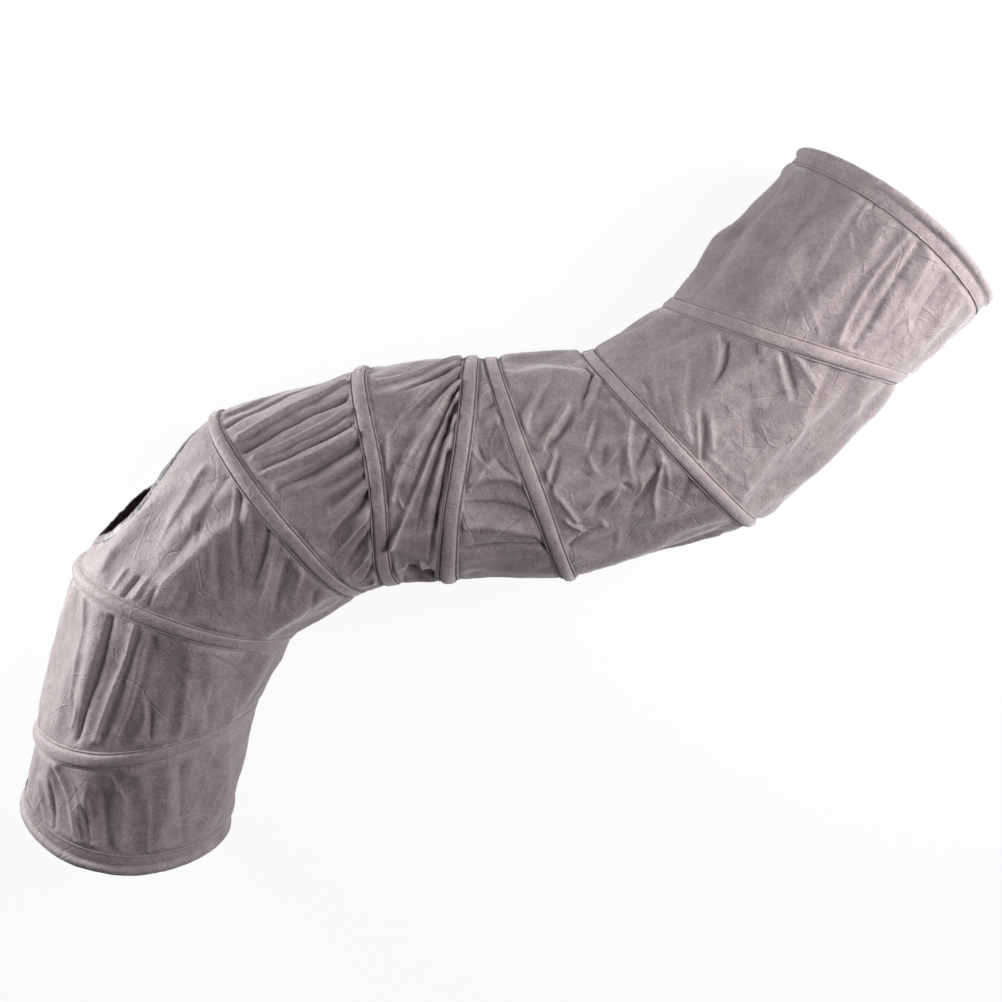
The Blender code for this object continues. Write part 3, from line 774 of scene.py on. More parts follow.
foldShape = {
    "blunt": 3.2,          # lines narrower than this many mm are sharp creases
    "steep": 0.5,          # a broad fold is this much narrower on the side away from the lamp
    "steepTo": (0.6, -0.6, -0.2),
    "nearTape": 0.20,      # share of the way across, within which a fold's end is at a tape
    "wideBy": {2: 0.98, 4: 0.98, 8: 1.0},
    "wideByElse": 0.85,
    "sharpWideBy": 0.92,
    "tallBy": {0: 1.6, 2: 1.45, 4: 1.5, 6: 2.9, 8: 2.7, 10: 2.1, 12: 2.4, 14: 2.1, 16: 1.4},
    "sharpTallBy": 1.1,
    "sharpPower": 1.3,     # how round the section of a fold is
    "broadPower": 1.7,
    "turn": 0.3,           # how gently its steep side goes over to its other side
    "reach": 3.0,          # a fold's push ends this many widths from its line
    "fade": 0.55,          # share of its length over which a free end fades
    "fadePower": 0.8,
    "thin": 0.45,          # how thin a free end gets
    "seed": 29,
}
# folds drawn by the seed on each stretch beneath the tunnel; widths and heights in mm
under = {
    "many": 22,
    "from": (0.08, 0.92),
    "lean": 0.05,
    "bend": 0.012,
    "sharpShare": 0.5,
    "sharpWide": (1.8, 2.4),
    "broadWide": (4.5, 8.0),
    "tall": (0.6, 1.3),
    "broadTallBy": 1.4,
}
unevenness = {
    # size, height, detail and what is added to the cloth's seed
    "crease": (0.021, 0.00055, 2, 31),
    "soft": (0.036, 0.0008, 2, 5),
    "nap": (0.0075, 0.00022, 3, 7),
    "creasePatch": (0.05, 37),
    "patchEdge": (0.05, 0.45),
    "creaseLine": 0.055,
    "napOnHeld": 0.3,      # share of the nap that shows where the cloth is held
    "lowest": 0.0012,
}


# places on the cloth as laid from a half turn to the next one above it, and an end's collar;
# across is 0 on the first and 1 on the next
def stripPlaces(bay, shares, across):
    phi = phiAlong(bay, shares)
    near = ringPoints(corners, bay, phi, coil["clothRing"])[:, None]
    far = ringPoints(corners, bay + 2, phi, coil["clothRing"])[:, None]
    inside = np.clip(across, 0, 1)[None, :, None]
    places = near * (1 - inside) + far * inside
    places = places + hoopShift(bay) * np.maximum(0, -across)[None, :, None]
    return places + hoopShift(bay + 2) * np.maximum(0, across - 1)[None, :, None]


# the same places and where each is seen in the picture
def seenStrip(bay):
    many, rows = picture["samples"]
    shares = np.linspace(0, 1, many)
    across = np.linspace(-1.0 if bay == 0 else 0.0, 2.0 if bay + 2 == lastJoint else 1.0, rows)
    places = stripPlaces(bay, shares, across)
    rightward = (0.5 - 0.5 * np.cos(math.pi * shares))[:, None, None]
    inside = np.clip(across, 0, 1)[None, :, None]
    drift = 0.0
    for number, part in ((bay, 1 - inside), (bay + 2, inside)):
        left, crown, right = tapeDrift(number)
        bow = 4 * rightward * (1 - rightward) * (crown - (left + right) / 2)
        drift = drift + (left * (1 - rightward) + right * rightward + bow) * part
    return places, seenAt(places) + drift, across


# width, height, places and whether each end is at a tape, for the folds that the camera sees
def foldsAbove(bay):
    places, seen, across = seenStrip(bay)
    nearTape = foldShape["nearTape"]
    for wide, tall, *line in folds[bay]:
        sharp = wide < foldShape["blunt"]
        wide *= foldShape["sharpWideBy"] if sharp else foldShape["wideBy"].get(bay, foldShape["wideByElse"])
        tall *= foldShape["tallBy"][bay] * (foldShape["sharpTallBy"] if sharp else 1.0)
        found = []
        for x, y in zip(line[0::2], line[1::2]):
            found.append(np.unravel_index(((seen - (x, y)) ** 2).sum(-1).argmin(), seen.shape[:2]))
        atTape = [not nearTape < across[found[n][1]] < 1 - nearTape for n in (0, -1)]
        yield wide / 1000, tall / 1000, np.array([places[f] for f in found]), atTape


# more folds for the stretches beneath the tunnel, mostly from tape to tape
def foldsBeneath(bay, chance):
    nearTape = foldShape["nearTape"]
    for _ in range(under["many"]):
        share, lean = chance.uniform(*under["from"]), chance.normal(0, under["lean"])
        low, high = sorted(chance.uniform(0.0, 1.0, 2))
        sharp = chance.random() < under["sharpShare"]
        wide = chance.uniform(*under["sharpWide" if sharp else "broadWide"])
        tall = chance.uniform(*under["tall"]) * (1 if sharp else under["broadTallBy"])
        tall *= chance.choice([-1, 1])
        bend = chance.normal(0, under["bend"])
        shares = np.array([share - lean, share + bend, share + lean])
        across = np.array([low, (low + high) / 2, high])
        places = stripPlaces(bay, shares, across)[[0, 1, 2], [0, 1, 2]]
        yield wide / 1000, tall / 1000, places, [low < nearTape, high > 1 - nearTape]


# rounds the corners of a line of a few points
def smoothLine(line):
    for _ in range(3):
        middle = (line[1:] + line[:-1]) / 2
        fuller = np.empty((len(line) + len(middle), 3))
        fuller[0::2], fuller[1::2] = line, middle
        fuller[1:-1] = (fuller[:-2] + 2 * fuller[1:-1] + fuller[2:]) / 4
        line = fuller
    return line


# adds one fold to the push of the points that lie near its line; an end at a tape doesn't fade
def addFold(push, laid, line, wide, tall, atTape):
    reach = foldShape["reach"] * wide
    inBox = ((laid > line.min(0) - reach) & (laid < line.max(0) + reach)).all(1)
    chosen = np.nonzero(inBox)[0]
    if not len(chosen):
        return
    here = laid[chosen]
    nearest = np.full(len(chosen), 1.0)
    shareAt = np.zeros(len(chosen))
    side = np.zeros(len(chosen))
    lengths = lengthsAlong(line)
    for n in range(len(line) - 1):
        run = line[n + 1] - line[n]
        t = np.clip(((here - line[n]) @ run) / max(run @ run, 1e-12), 0, 1)
        offset = here - line[n] - t[:, None] * run
        far = np.linalg.norm(offset, axis=1)
        closer = far < nearest
        nearest = np.where(closer, far, nearest)
        side = np.where(closer, offset @ np.array(foldShape["steepTo"]), side)
        shareAt = np.where(closer, (lengths[n] + t * (lengths[n + 1] - lengths[n])) / lengths[-1], shareAt)
    sharp = wide * 1000 < foldShape["blunt"]
    power = foldShape["sharpPower" if sharp else "broadPower"]
    if not sharp:
        turn, lean = foldShape["turn"], side * math.copysign(1.0, tall) / np.maximum(nearest, 1e-6)
        nearest = nearest / (1 - foldShape["steep"] * smoothStep(-turn, turn, lean))
    taper = np.ones(len(chosen))
    for joined, fromEnd in zip(atTape, (shareAt, 1 - shareAt)):
        taper *= 1.0 if joined else smoothStep(0.0, foldShape["fade"], fromEnd)
    nearest = nearest / (foldShape["thin"] + (1 - foldShape["thin"]) * taper)
    push[chosen] += tall * taper ** foldShape["fadePower"] * np.exp(-(nearest / wide) ** power)


# the lower edge of the hole stands away from the tube
def pushLip(points, laid, loose):
    offset = laid - holeMiddle
    along, up = offset @ holeSide, offset[:, 2]
    (alongAt, upAt), (alongSize, upSize) = hole["lipAt"], hole["lipSize"]
    near = np.exp(-((along - alongAt) / alongSize) ** 2 - ((up - upAt) / upSize) ** 2)
    near *= np.where(offset @ holeOut > 0, hole["lip"], 0.0) * smoothStep(0.0, 1.0, loose)
    return points + near[:, None] * holeOut


# thin creases where a noise passes zero, only in patches
def strayCreases(points):
    size, tall, detail, seed = unevenness["crease"]
    patchSize, patchSeed = unevenness["creasePatch"]
    line = waves(points, size, cloth["seed"] + seed, detail)
    patches = waves(points, patchSize, cloth["seed"] + patchSeed, detail)
    patch = smoothStep(*unevenness["patchEdge"], patches)
    return patch * np.exp(-(np.abs(line) / unevenness["creaseLine"]) ** foldShape["sharpPower"]) * tall


def unevenPush(points, kind):
    size, tall, detail, seed = unevenness[kind]
    return waves(points, size, cloth["seed"] + seed, detail) * tall


# Finer cloth: each cell halved, then folds, creases and the small unevenness of the nap
def finerCloth(piece):
    bpy.ops.object.select_all(action="DESELECT")
    piece.select_set(True)
    bpy.context.view_layer.objects.active = piece
    smooth = piece.modifiers.new("Finer", "SUBSURF")
    smooth.levels = smooth.render_levels = cloth["finer"]
    bpy.ops.object.modifier_apply(modifier="Finer")
    mesh = piece.data
    points, normals = getPoints(mesh), normalsOf(mesh)
    laid = attributeValues(mesh, "laid", "vector", 3)
    loose = np.clip(1 - attributeValues(mesh, "held"), 0, 1)
    push = np.zeros(len(points))
    chance = np.random.default_rng(foldShape["seed"])
    for bay in allBays:
        for wide, tall, places, atTape in foldsBeneath(bay, chance) if bay % 2 else foldsAbove(bay):
            addFold(push, laid, smoothLine(places), wide, tall, atTape)
    push += strayCreases(laid)
    push += unevenPush(laid, "soft")
    push *= smoothStep(0.0, 1.0, loose)
    onHeld = unevenness["napOnHeld"]
    push += unevenPush(laid, "nap") * (onHeld + (1 - onHeld) * loose)
    points = pushLip(points + normals * push[:, None], laid, loose)
    points[:, 2] = np.maximum(points[:, 2], unevenness["lowest"])
    setPoints(mesh, points)


# each point's place as the mean of its neighbours', a few times over
def neighbourMean(points, edges, passes):
    count = len(points)
    number = np.bincount(edges.ravel(), minlength=count).astype(float)
    a, b = edges.T
    for _ in range(passes):
        total = [np.bincount(a, axis[b], count) + np.bincount(b, axis[a], count) for axis in points.T]
        points = np.stack(total, axis=1) / number[:, None]
    return points


def meshEdges(mesh):
    edges = np.zeros(len(mesh.edges) * 2, np.int32)
    mesh.edges.foreach_get("vertices", edges)
    return edges.reshape(-1, 2)


# how far each point stands out from the cloth round it, for the ridges lightened by worn nap and a painted
# highlight and the valleys darkened with painted shade
ridges = {"near": 2, "wide": 12, "height": 0.0006}


def addRidges(piece):
    mesh = piece.data
    normals, edges = normalsOf(mesh), meshEdges(mesh)
    near = neighbourMean(getPoints(mesh), edges, ridges["near"])
    wide = neighbourMean(near, edges, ridges["wide"])
    ridge = ((near - wide) * normals).sum(1) / ridges["height"]
    addAttribute(piece, "ridge", "FLOAT", np.clip(ridge, -1, 1))


finerCloth(clothPiece)
addRidges(clothPiece)
print("cloth finer", len(clothPiece.data.vertices), "points")


# The cloth comes apart where the planes of the half turns cross it
def headingOf(number):
    a, b = cornerAt(corners, number), cornerAt(corners, number + 1)
    return (b - a) / np.linalg.norm(b - a)


# signed distance from the upright plane of half turn `number`
def planeSide(number, point):
    heading, corner = headingOf(number), cornerAt(corners, number)
    return heading[0] * (point[1] - corner[1]) - heading[1] * (point[0] - corner[0])


def splitCloth(piece):
    shape = bmesh.new()
    shape.from_mesh(piece.data)
    bayLayer = shape.faces.layers.int["bay"]
    byBay = {}
    for f in shape.faces:
        byBay.setdefault(f[bayLayer], []).append(f)
    for bay in allBays[1:-1]:
        splitAlong(shape, byBay[bay], lambda place, n=bay + 1: float(planeSide(n, place)))
    shape.normal_update()
    bayLayer = shape.faces.layers.int["bay"]
    wedges = []
    for f in shape.faces:
        bay = f[bayLayer]
        if bay in (allBays[0], cloth["collarBays"][0]):
            wedges.append(1)
        elif bay in (allBays[-1], cloth["collarBays"][1]):
            wedges.append(lastJoint)
        else:
            near = planeSide(bay + 1, cornerAt(corners, bay))
            here = planeSide(bay + 1, f.calc_center_median())
            wedges.append(bay + 1 if near * here > 0 else bay + 2)
    shape.to_mesh(piece.data)
    shape.free()
    return wedges


# share of the way round hinge `joint` from the half turn before it to the one after
def wedgeWeights(joint, points):
    pivot = cornerAt(corners, joint)
    start = cornerAt(corners, joint - 1) - pivot
    away = points[:, :2] - pivot
    angle = np.degrees(np.arctan2(start[0] * away[:, 1] - start[1] * away[:, 0], away @ start))
    return np.clip(angle * (-1 if joint % 2 else 1) / openings[joint - 1], 0, 1)


def blendAcross(piece, joint, weights):
    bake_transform(piece)


# a piece made upright, then leaned with the half turns
def meshPiece(name, points, faces, normals=None):
    mesh = bpy.data.meshes.new(name)
    mesh.from_pydata([tuple(p) for p in points + leanAt(points)], [], faces)
    mesh.update()
    piece = bpy.data.objects.new(name, mesh)
    bpy.context.scene.collection.objects.link(piece)
    for polygon in mesh.polygons:
        polygon.use_smooth = True
    if normals is not None:
        mesh.normals_split_custom_set_from_vertices([tuple(n) for n in leanedNormals(points, normals)])
    return piece


def wedgePiece(joint, polygons, points, normals, ridge, cut):
    used = np.unique(np.concatenate([np.array(p) for p in polygons]))
    place = {int(v): n for n, v in enumerate(used)}
    count = len(used)
    outer = [[place[v] for v in p] for p in polygons]
    edges = {pair: None for p in outer for pair in zip(p, p[1:] + p[:1])}
    rim = [(b, a, a + count, b + count) for a, b in edges if (b, a) not in edges]
    faces = outer + [[v + count for v in reversed(p)] for p in outer] + rim
    skin, skinNormals = points[used], normals[used]
    inner = skin - skinNormals * cloth["thickness"]
    weights = wedgeWeights(joint, skin)
    piece = meshPiece(
        f"tunnel_cloth_{joint:02d}", np.concatenate([skin, inner]), faces,
        np.concatenate([skinNormals, -skinNormals]),
    )
    addAttribute(piece, "ridge", "FLOAT", np.concatenate([ridge[used], -ridge[used]]))
    # the inner skin, which gets the painted light shining through the cloth
    addAttribute(piece, "reverse", "FLOAT", np.repeat([0.0, 1.0], count))
    blendAcross(piece, joint, np.concatenate([weights, weights]))
    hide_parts(f"panel_{joint:02d}")
    triangles = np.array([(p[0], b, c) for p in polygons for b, c in zip(p[1:-1], p[2:])])
    a, b, c = (cut[triangles[:, n]] for n in range(3))
    return piece, float(np.linalg.norm(np.cross(b - a, c - a), axis=1).sum()) / 2


wedgeOf = splitCloth(clothPiece)
print("cloth split", len(wedgeOf), "faces")


def clothPieces(piece):
    mesh = piece.data
    points, normals = getPoints(mesh), normalsOf(mesh)
    ridge = attributeValues(mesh, "ridge")
    cut = attributeValues(mesh, "cutShape", "vector", 3)
    groups = {}
    for polygon, wedge in zip(mesh.polygons, wedgeOf):
        groups.setdefault(wedge, []).append(list(polygon.vertices))
    return {n: wedgePiece(n, groups[n], points, normals, ridge, cut) for n in allJoints}


clothParts = clothPieces(clothPiece)


# points and normals of the open edge for which inside(place) is true, in order
def boundaryLoop(piece, inside):
    shape = bmesh.new()
    shape.from_mesh(piece.data)
    edges = [e for e in shape.edges if e.is_boundary and all(inside(v.co) for v in e.verts)]
    links = {}
    for e in edges:
        a, b = e.verts
        links.setdefault(a, []).append(b)
        links.setdefault(b, []).append(a)
    first = edges[0].verts[0]
    loop, last, here = [first], None, first
    while True:
        following = [v for v in links[here] if v is not last]
        last, here = here, following[0]
        if here is first:
            break
        loop.append(here)
    found = np.array([v.co for v in loop]), np.array([v.normal for v in loop])
    shape.free()
    return found


holeEdge, holeEdgeNormals = boundaryLoop(clothPiece, lambda place: holeAt(place) < hole["searched"])
print("hole edge", len(holeEdge), "points")
bpy.data.objects.remove(clothPiece)


# Tapes over the wire
tape = {
    "steps": 100,            # along a half turn
    "halfWidth": 0.0094,
    "domeHalf": 0.0066,      # the casing that holds the wire
    "domeHeight": 0.0031,
    "flangeTop": 0.0010,     # thickness over the cloth
    "stitchAt": 0.0071,
    "stitchPitch": 0.0033,
    "turnoverShare": 0.085,  # this much of a half turn at each end goes into the turnover piece at the hinge
    "lift": 0.00045,         # of the tape's underside over the cloth's line
    "tail": 0.14,            # share of a half turn that runs on under a hem
    "tailDrop": 0.0045,
    "tailWide": 0.55,        # how wide and thick the tape is at the tail's end
    "tailThick": 0.5,
    "stitchedTail": 0.45,    # stitches run on until the tail has sunk to this
    "way": 0.02,             # stands in for the way to the next turn where there is none
    "edgeUp": (0.011, 0.00025),      # size and height of the unevenness
    "edgeOut": (0.017, 0.0004),
    "roll": (0.02, 0.05),
    "sideways": (0.06, 0.0006),
    "pinch": 0.00015,
    "seed": 4.0,
}


# a power that keeps the sign
def rounded(value, power):
    return math.copysign(abs(value) ** power, value)


# (across, out) round the tape's section, out measured from the wire's line; outer side first
def tapeProfile():
    seat = coil["clothRing"] - coil["wireRing"] + tape["lift"]
    top = seat + tape["flangeTop"]
    half, dome, stitch = tape["halfWidth"], tape["domeHalf"], tape["stitchAt"]
    side = [
        (half, seat + 0.0002), (half + 0.0001, seat + 0.0007), (half - 0.0003, top + 0.0002),
        (half - 0.0010, top + 0.0004), (stitch + 0.0007, top + 0.0001), (stitch, top - 0.0007),
        (stitch - 0.0004, top - 0.0004),
    ]
    arc = []
    for a in np.radians(np.linspace(4, 176, 21)):
        arc.append((dome * rounded(math.cos(a), 0.8), top + tape["domeHeight"] * math.sin(a) ** 0.75))
    other = [(-x, y) for x, y in reversed(side)]
    inner = half - 0.0005
    under = [(x, seat) for x in (-inner, -dome * 0.5, 0, dome * 0.5, inner)]
    return np.array(side + arc + other + under)


# half turn and share of it, for each section along the wound tape
def tapeSections():
    steps = tape["steps"]
    tail = int(steps * tape["tail"])
    first, last = steps - tail, lastJoint * steps + tail
    return [(at // steps, at % steps / steps) for at in range(first, last + 1)]


def wirePoint(number, share):
    phi = np.array([phiAlong(number, share)])
    return ringPoints(corners, number, phi, coil["wireRing"])[0]


# from a point on the wire to the same place two half turns on, or a plain step where there is none
def wayTo(number, share, onward):
    heading = turned(headingOf(number), -90 if number % 2 else 90)
    plain = np.append(heading, 0.0) * tape["way"]
    if not -1 <= number + onward <= lastJoint + 1:
        return plain
    way = (wirePoint(number + onward, share) - wirePoint(number, share)) * (1 if onward > 0 else -1)
    return way if np.dot(way, way) > 1e-9 else plain


# where the wire is, and which way out, on and back are, at each section
def tapeLines(sections):
    middle = np.array([wirePoint(*section) for section in sections])
    centres = np.array([
        np.append((cornerAt(corners, n) + cornerAt(corners, n + 1)) / 2, middleHeight) for n, _ in sections
    ])
    onward, back = (unit(np.array([wayTo(*section, step) for section in sections])) for step in (2, -2))
    return middle, (middle - centres) / coil["wireRing"], onward, back


tapeColumns = tapeSections()
tapeAt = np.array([number + share for number, share in tapeColumns])
tapeMiddle, tapeOut, tapeNext, tapeLast = tapeLines(tapeColumns)


tapeDistance = lengthsAlong(tapeMiddle)


def wobble(size, tall, seed):
    seed += tape["seed"]
    return tall * np.array([noise.noise(Vector((d / size, seed, 1.7 * seed))) for d in tapeDistance])


# 1 on the wound tape, falling to 0 at its two ends, which dive under the hems
tapeWhole = 1 - np.clip(np.maximum(1 - tapeAt, tapeAt - lastJoint) / tape["tail"], 0, 1)


def tapeSurface():
    profile = tapeProfile()
    roll = tape["domeHalf"]
    shape = np.zeros((len(tapeColumns), len(profile), 3))
    edgeUp = {1: wobble(*tape["edgeUp"], 0), -1: wobble(*tape["edgeUp"], 9)}
    edgeOut = {1: wobble(*tape["edgeOut"], 21), -1: wobble(*tape["edgeOut"], 33)}
    rollWobble = 1 + wobble(*tape["roll"], 47)
    sideways = wobble(*tape["sideways"], 51)
    pinch = tape["pinch"] * (0.5 - 0.5 * np.cos(2 * math.pi * tapeDistance / tape["stitchPitch"]))
    wide = tape["tailWide"] + (1 - tape["tailWide"]) * tapeWhole
    thick = tape["tailThick"] + (1 - tape["tailThick"]) * tapeWhole
    for n, (across, out) in enumerate(profile):
        towards = smoothStep(-roll, roll, across)
        way = unit(tapeLast * (1 - towards) + tapeNext * towards)
        side = 1 if across > 0 else -1
        acrossNow, outNow = across, out
        if abs(across) > roll + 0.0004:
            reach = (abs(across) - roll) / (tape["halfWidth"] - roll)
            outNow = outNow + reach * edgeUp[side]
            acrossNow = acrossNow + side * reach * edgeOut[side]
            if abs(abs(across) - tape["stitchAt"]) < 0.0002 and out < 0:
                outNow = outNow - pinch
        elif out > 0:
            outNow = out * rollWobble
        acrossNow = (acrossNow + sideways) * wide
        outNow = outNow * thick - tape["tailDrop"] * (1 - tapeWhole)
        shape[:, n] = tapeMiddle + way * acrossNow[:, None] + tapeOut * outNow[:, None]
    shape[..., 2] = np.maximum(shape[..., 2], 0.0)     # flat where it lies on the table
    return shape


# normals of a grid whose rows are closed sections, and whether its faces have to be turned
def gridNormals(points, closed=False):
    across = np.roll(points, -1, axis=1) - np.roll(points, 1, axis=1)
    if closed:
        along = np.roll(points, -1, axis=0) - np.roll(points, 1, axis=0)
    else:
        along = np.gradient(points, axis=0)
    found = unit(np.cross(across, along))
    outwards = ((points - points.mean(axis=1, keepdims=True)) * found).sum(axis=(1, 2))
    flip = 1.0 if np.sign(outwards).sum() > 0 else -1.0
    return found * flip, flip


tapePoints = tapeSurface()
tapeNormals, tapeFlip = gridNormals(tapePoints)


def sweptFaces(columns, sections, flip, closed):
    faces = []
    for c in range(columns if closed else columns - 1):
        d = (c + 1) % columns
        for s in range(sections):
            t = (s + 1) % sections
            faces.append([c * sections + s, c * sections + t, d * sections + t, d * sections + s])
    if not closed:
        faces.append(list(range(sections))[::-1])
        faces.append([(columns - 1) * sections + s for s in range(sections)])
    return faces if flip > 0 else [f[::-1] for f in faces]


def sweptPiece(name, points, normals, flip, closed=False):
    faces = sweptFaces(*points.shape[:2], flip, closed)
    return meshPiece(name, points.reshape(-1, 3), faces, normals.reshape(-1, 3))


def tapePiece(name, start, end):
    return sweptPiece(name, tapePoints[start:end], tapeNormals[start:end], tapeFlip)


# the sections from one half turn and share of it to another
def columnRange(*ends):
    start, last = (int(np.abs(tapeAt - number - share).argmin()) for number, share in ends)
    return start, last + 1


# one stitch, lying along x
stitchSize = (0.00245, 0.00085, 0.00075)
stitchProud = 0.00022    # how far its middle stands out of the cloth


def bead():
    bpy.ops.object.select_all(action="DESELECT")
    bpy.ops.mesh.primitive_uv_sphere_add(segments=6, ring_count=5, radius=0.5)
    made = bpy.context.object
    points = getPoints(made.data) * np.array(stitchSize)
    faces = [list(p.vertices) for p in made.data.polygons]
    bpy.data.objects.remove(made)
    return points, faces


beadPoints, beadFaces = bead()


# one bead at each place, turned to its three directions
def stitches(name, places, alongs, acrosses, outs):
    points, faces = [], []
    for n, directions in enumerate(zip(alongs, acrosses, outs)):
        points.append(places[n] + directions[2] * stitchProud + beadPoints @ np.array(directions))
        faces += [[v + n * len(beadPoints) for v in f] for f in beadFaces]
    return meshPiece(name, np.concatenate(points), faces)


# both rows of stitches, and the share of the way from start to end for each of their points
def tapeStitches(name, start, end):
    low, high = tapeDistance[start], tapeDistance[end - 1]
    pitch = tape["stitchPitch"]
    count = range(math.ceil(low / pitch), math.floor(high / pitch) + 1)
    profile = tapeProfile()
    rows = [n for n in range(len(profile)) if abs(abs(profile[n][0]) - tape["stitchAt"]) < 0.0001]
    places, at, shares = [], [], []
    for row in rows:
        for d in (n * pitch for n in count):
            c = min(max(int(np.searchsorted(tapeDistance, d)) - 1, 0), len(tapeDistance) - 2)
            f = (d - tapeDistance[c]) / (tapeDistance[c + 1] - tapeDistance[c])
            if tapeWhole[c] < tape["stitchedTail"]:
                continue
            places.append(tapePoints[c, row] * (1 - f) + tapePoints[c + 1, row] * f)
            at.append(c)
            shares.append((c + f - start) / (end - 1 - start))
    alongs, outs = unit(np.gradient(tapeMiddle, axis=0))[at], tapeOut[at]
    return stitches(name, places, alongs, np.cross(outs, alongs), outs), np.repeat(shares, len(beadPoints))


tapeParts = {n: [] for n in allJoints}


def makeTapes():
    share = tape["turnoverShare"]
    for number in allJoints[:-1]:
        start, end = columnRange((number, share), (number, 1 - share))
        piece = tapePiece(f"binding_tape_{number:02d}", start, end)
        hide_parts(f"binding_{number:02d}")
        thread, _ = tapeStitches(f"tape_stitches_{number:02d}", start, end)
        for made in (piece, thread):
            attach(made, segmentBody[number])
            tapeParts[number].append(made)
    for joint in allJoints:
        start, end = columnRange((joint - 1, 1 - share), (joint, share))
        start = 0 if joint == 1 else start
        end = len(tapeColumns) if joint == lastJoint else end
        piece = tapePiece(f"tape_turnover_{joint:02d}", start, end)
        # 0 on the half turn before the hinge, 1 on the one after
        weights = smoothStep(joint - share, joint + share, tapeAt[start:end])
        blendAcross(piece, joint, np.repeat(weights, tapePoints.shape[1]))
        thread, shares = tapeStitches(f"turnover_stitches_{joint:02d}", start, end)
        blendAcross(thread, joint, np.interp(shares, np.linspace(0, 1, end - start), weights))
        for made in (piece, thread):
            tapeParts[joint].append(made)


makeTapes()
print("tapes made")


# Hems over the end hoops
hem = {
    "ring": 0.12112,
    "steps": 300,
    "roll": 0.0042,
    "flange": 0.0168,
    "stitchAt": 0.0146,
    "stitchRow": 4,        # the point of the section on which the stitches sit
    "lift": 0.0006,
    "thick": 0.0011,
    # three kinds of unevenness: how often round the hoop, where in the noise,
    # and how far each moves the roll across, the flange across, both out and the flange out
    "uneven": [
        (9, (1, 0, 0), (0.0006, 0.0, 0.00025, 0.0)),
        (26, (0, 1, 0), (0.0, 0.0007, 0.00030, 0.0)),
        (50, (0, 0, 1), (0.0, 0.0, 0.0, 0.00022)),
    ],
    "seed": 17.0,
}


# a noise that closes on itself round a ring
def roundNoise(count, often, shift):
    angles = np.linspace(0, 2 * math.pi, count, endpoint=False)
    ring = (Vector((math.cos(a), math.sin(a), 0)) for a in angles)
    return np.array([noise.noise(v * often + Vector(shift)) for v in ring])


# (inwards along the tunnel, out from the hoop's line); positive is towards the tunnel's middle
def hemProfile():
    seat = coil["clothRing"] - hem["ring"] + hem["lift"]
    top = seat + hem["thick"]
    roll, flange, stitch = hem["roll"], hem["flange"], hem["stitchAt"]
    outer = [
        (flange, seat), (flange + 0.0002, seat + 0.0006), (flange - 0.0003, top),
        (stitch + 0.0007, top + 0.0001), (stitch, top - 0.0005), (stitch - 0.0007, top + 0.0001),
        (roll + 0.0036, top + 0.0003), (roll + 0.0019, top - 0.0006), (roll + 0.0007, top + 0.0002),
    ]
    arc = [(roll * math.cos(a), roll * math.sin(a)) for a in np.radians(np.linspace(28, 318, 19))]
    inner = [
        (roll + 0.0004, seat - 0.0026), (flange - 0.004, seat - 0.0024), (flange - 0.0034, seat - 0.0018),
        (roll + 0.001, seat - 0.0014), (roll + 0.001, seat),
    ]
    return np.array(outer + arc + inner)


def makeHem(number, end):
    left, right = sidesOf(corners, number)
    centre = np.append((left + right) / 2, middleHeight) + hoopShift(number)
    inwards = np.append(-outwardNormal(number), 0.0)
    sideways, up = np.append(unit(right - left), 0.0), np.array([0.0, 0.0, 1.0])
    steps = hem["steps"]
    angles = np.linspace(0, 2 * math.pi, steps, endpoint=False)
    radial = np.cos(angles)[:, None] * sideways + np.sin(angles)[:, None] * up
    profile = hemProfile()
    rollAcross, flangeAcross, bothOut, flangeOut = np.sum([
        np.outer(sizes, roundNoise(steps, often, np.array(way) * (hem["seed"] + number)))
        for often, way, sizes in hem["uneven"]
    ], axis=0)
    points = np.zeros((steps, len(profile), 3))
    for n, (across, out) in enumerate(profile):
        onFlange = max(0.0, across - hem["roll"]) / (hem["flange"] - hem["roll"])
        acrossNow = across + rollAcross * (1 - onFlange) + flangeAcross * onFlange
        outNow = out + bothOut + flangeOut * onFlange
        points[:, n] = centre + radial * (hem["ring"] + outNow)[:, None] + inwards * acrossNow[:, None]
    points[..., 2] = np.maximum(points[..., 2], 0.0)
    piece = sweptPiece(f"hem_cloth_{end}", points, *gridNormals(points, closed=True), closed=True)
    line = points[:, hem["stitchRow"]]
    count = int(2 * math.pi * hem["ring"] / tape["stitchPitch"])
    at = np.arange(count) * steps / count
    low = np.floor(at).astype(int)
    mixed = (at - low)[:, None]
    places = line[low] * (1 - mixed) + line[(low + 1) % steps] * mixed
    outs = unit(radial[low] * (1 - mixed) + radial[(low + 1) % steps] * mixed)
    alongs = unit(np.cross(outs, inwards))
    thread = stitches(f"hem_stitches_{end}", places, alongs, np.repeat(inwards[None], count, 0), outs)
    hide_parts(f"hem_{end}")
    for made in (piece, thread):
        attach(made, f"hoop_{end}")
    return [piece, thread]


hemParts = {1: makeHem(0, "low"), lastJoint: makeHem(lastJoint, "high")}
print("hems made")


# Curled satin edging of the hole
edging = {
    "wide": 0.0105,
    "thick": 0.0040,
    "steps": 280,
    "around": 18,
    "smoothed": 6,
    "overlap": 0.0030,     # its middle lies this far out over the cloth
    "waves": (9, 28),      # coarse and fine, round the hole
    "curl": (0.35, 0.25),
    "lean": 0.35,
    "uneven": (0.0006, 0.12),
    "seed": 23.0,
}


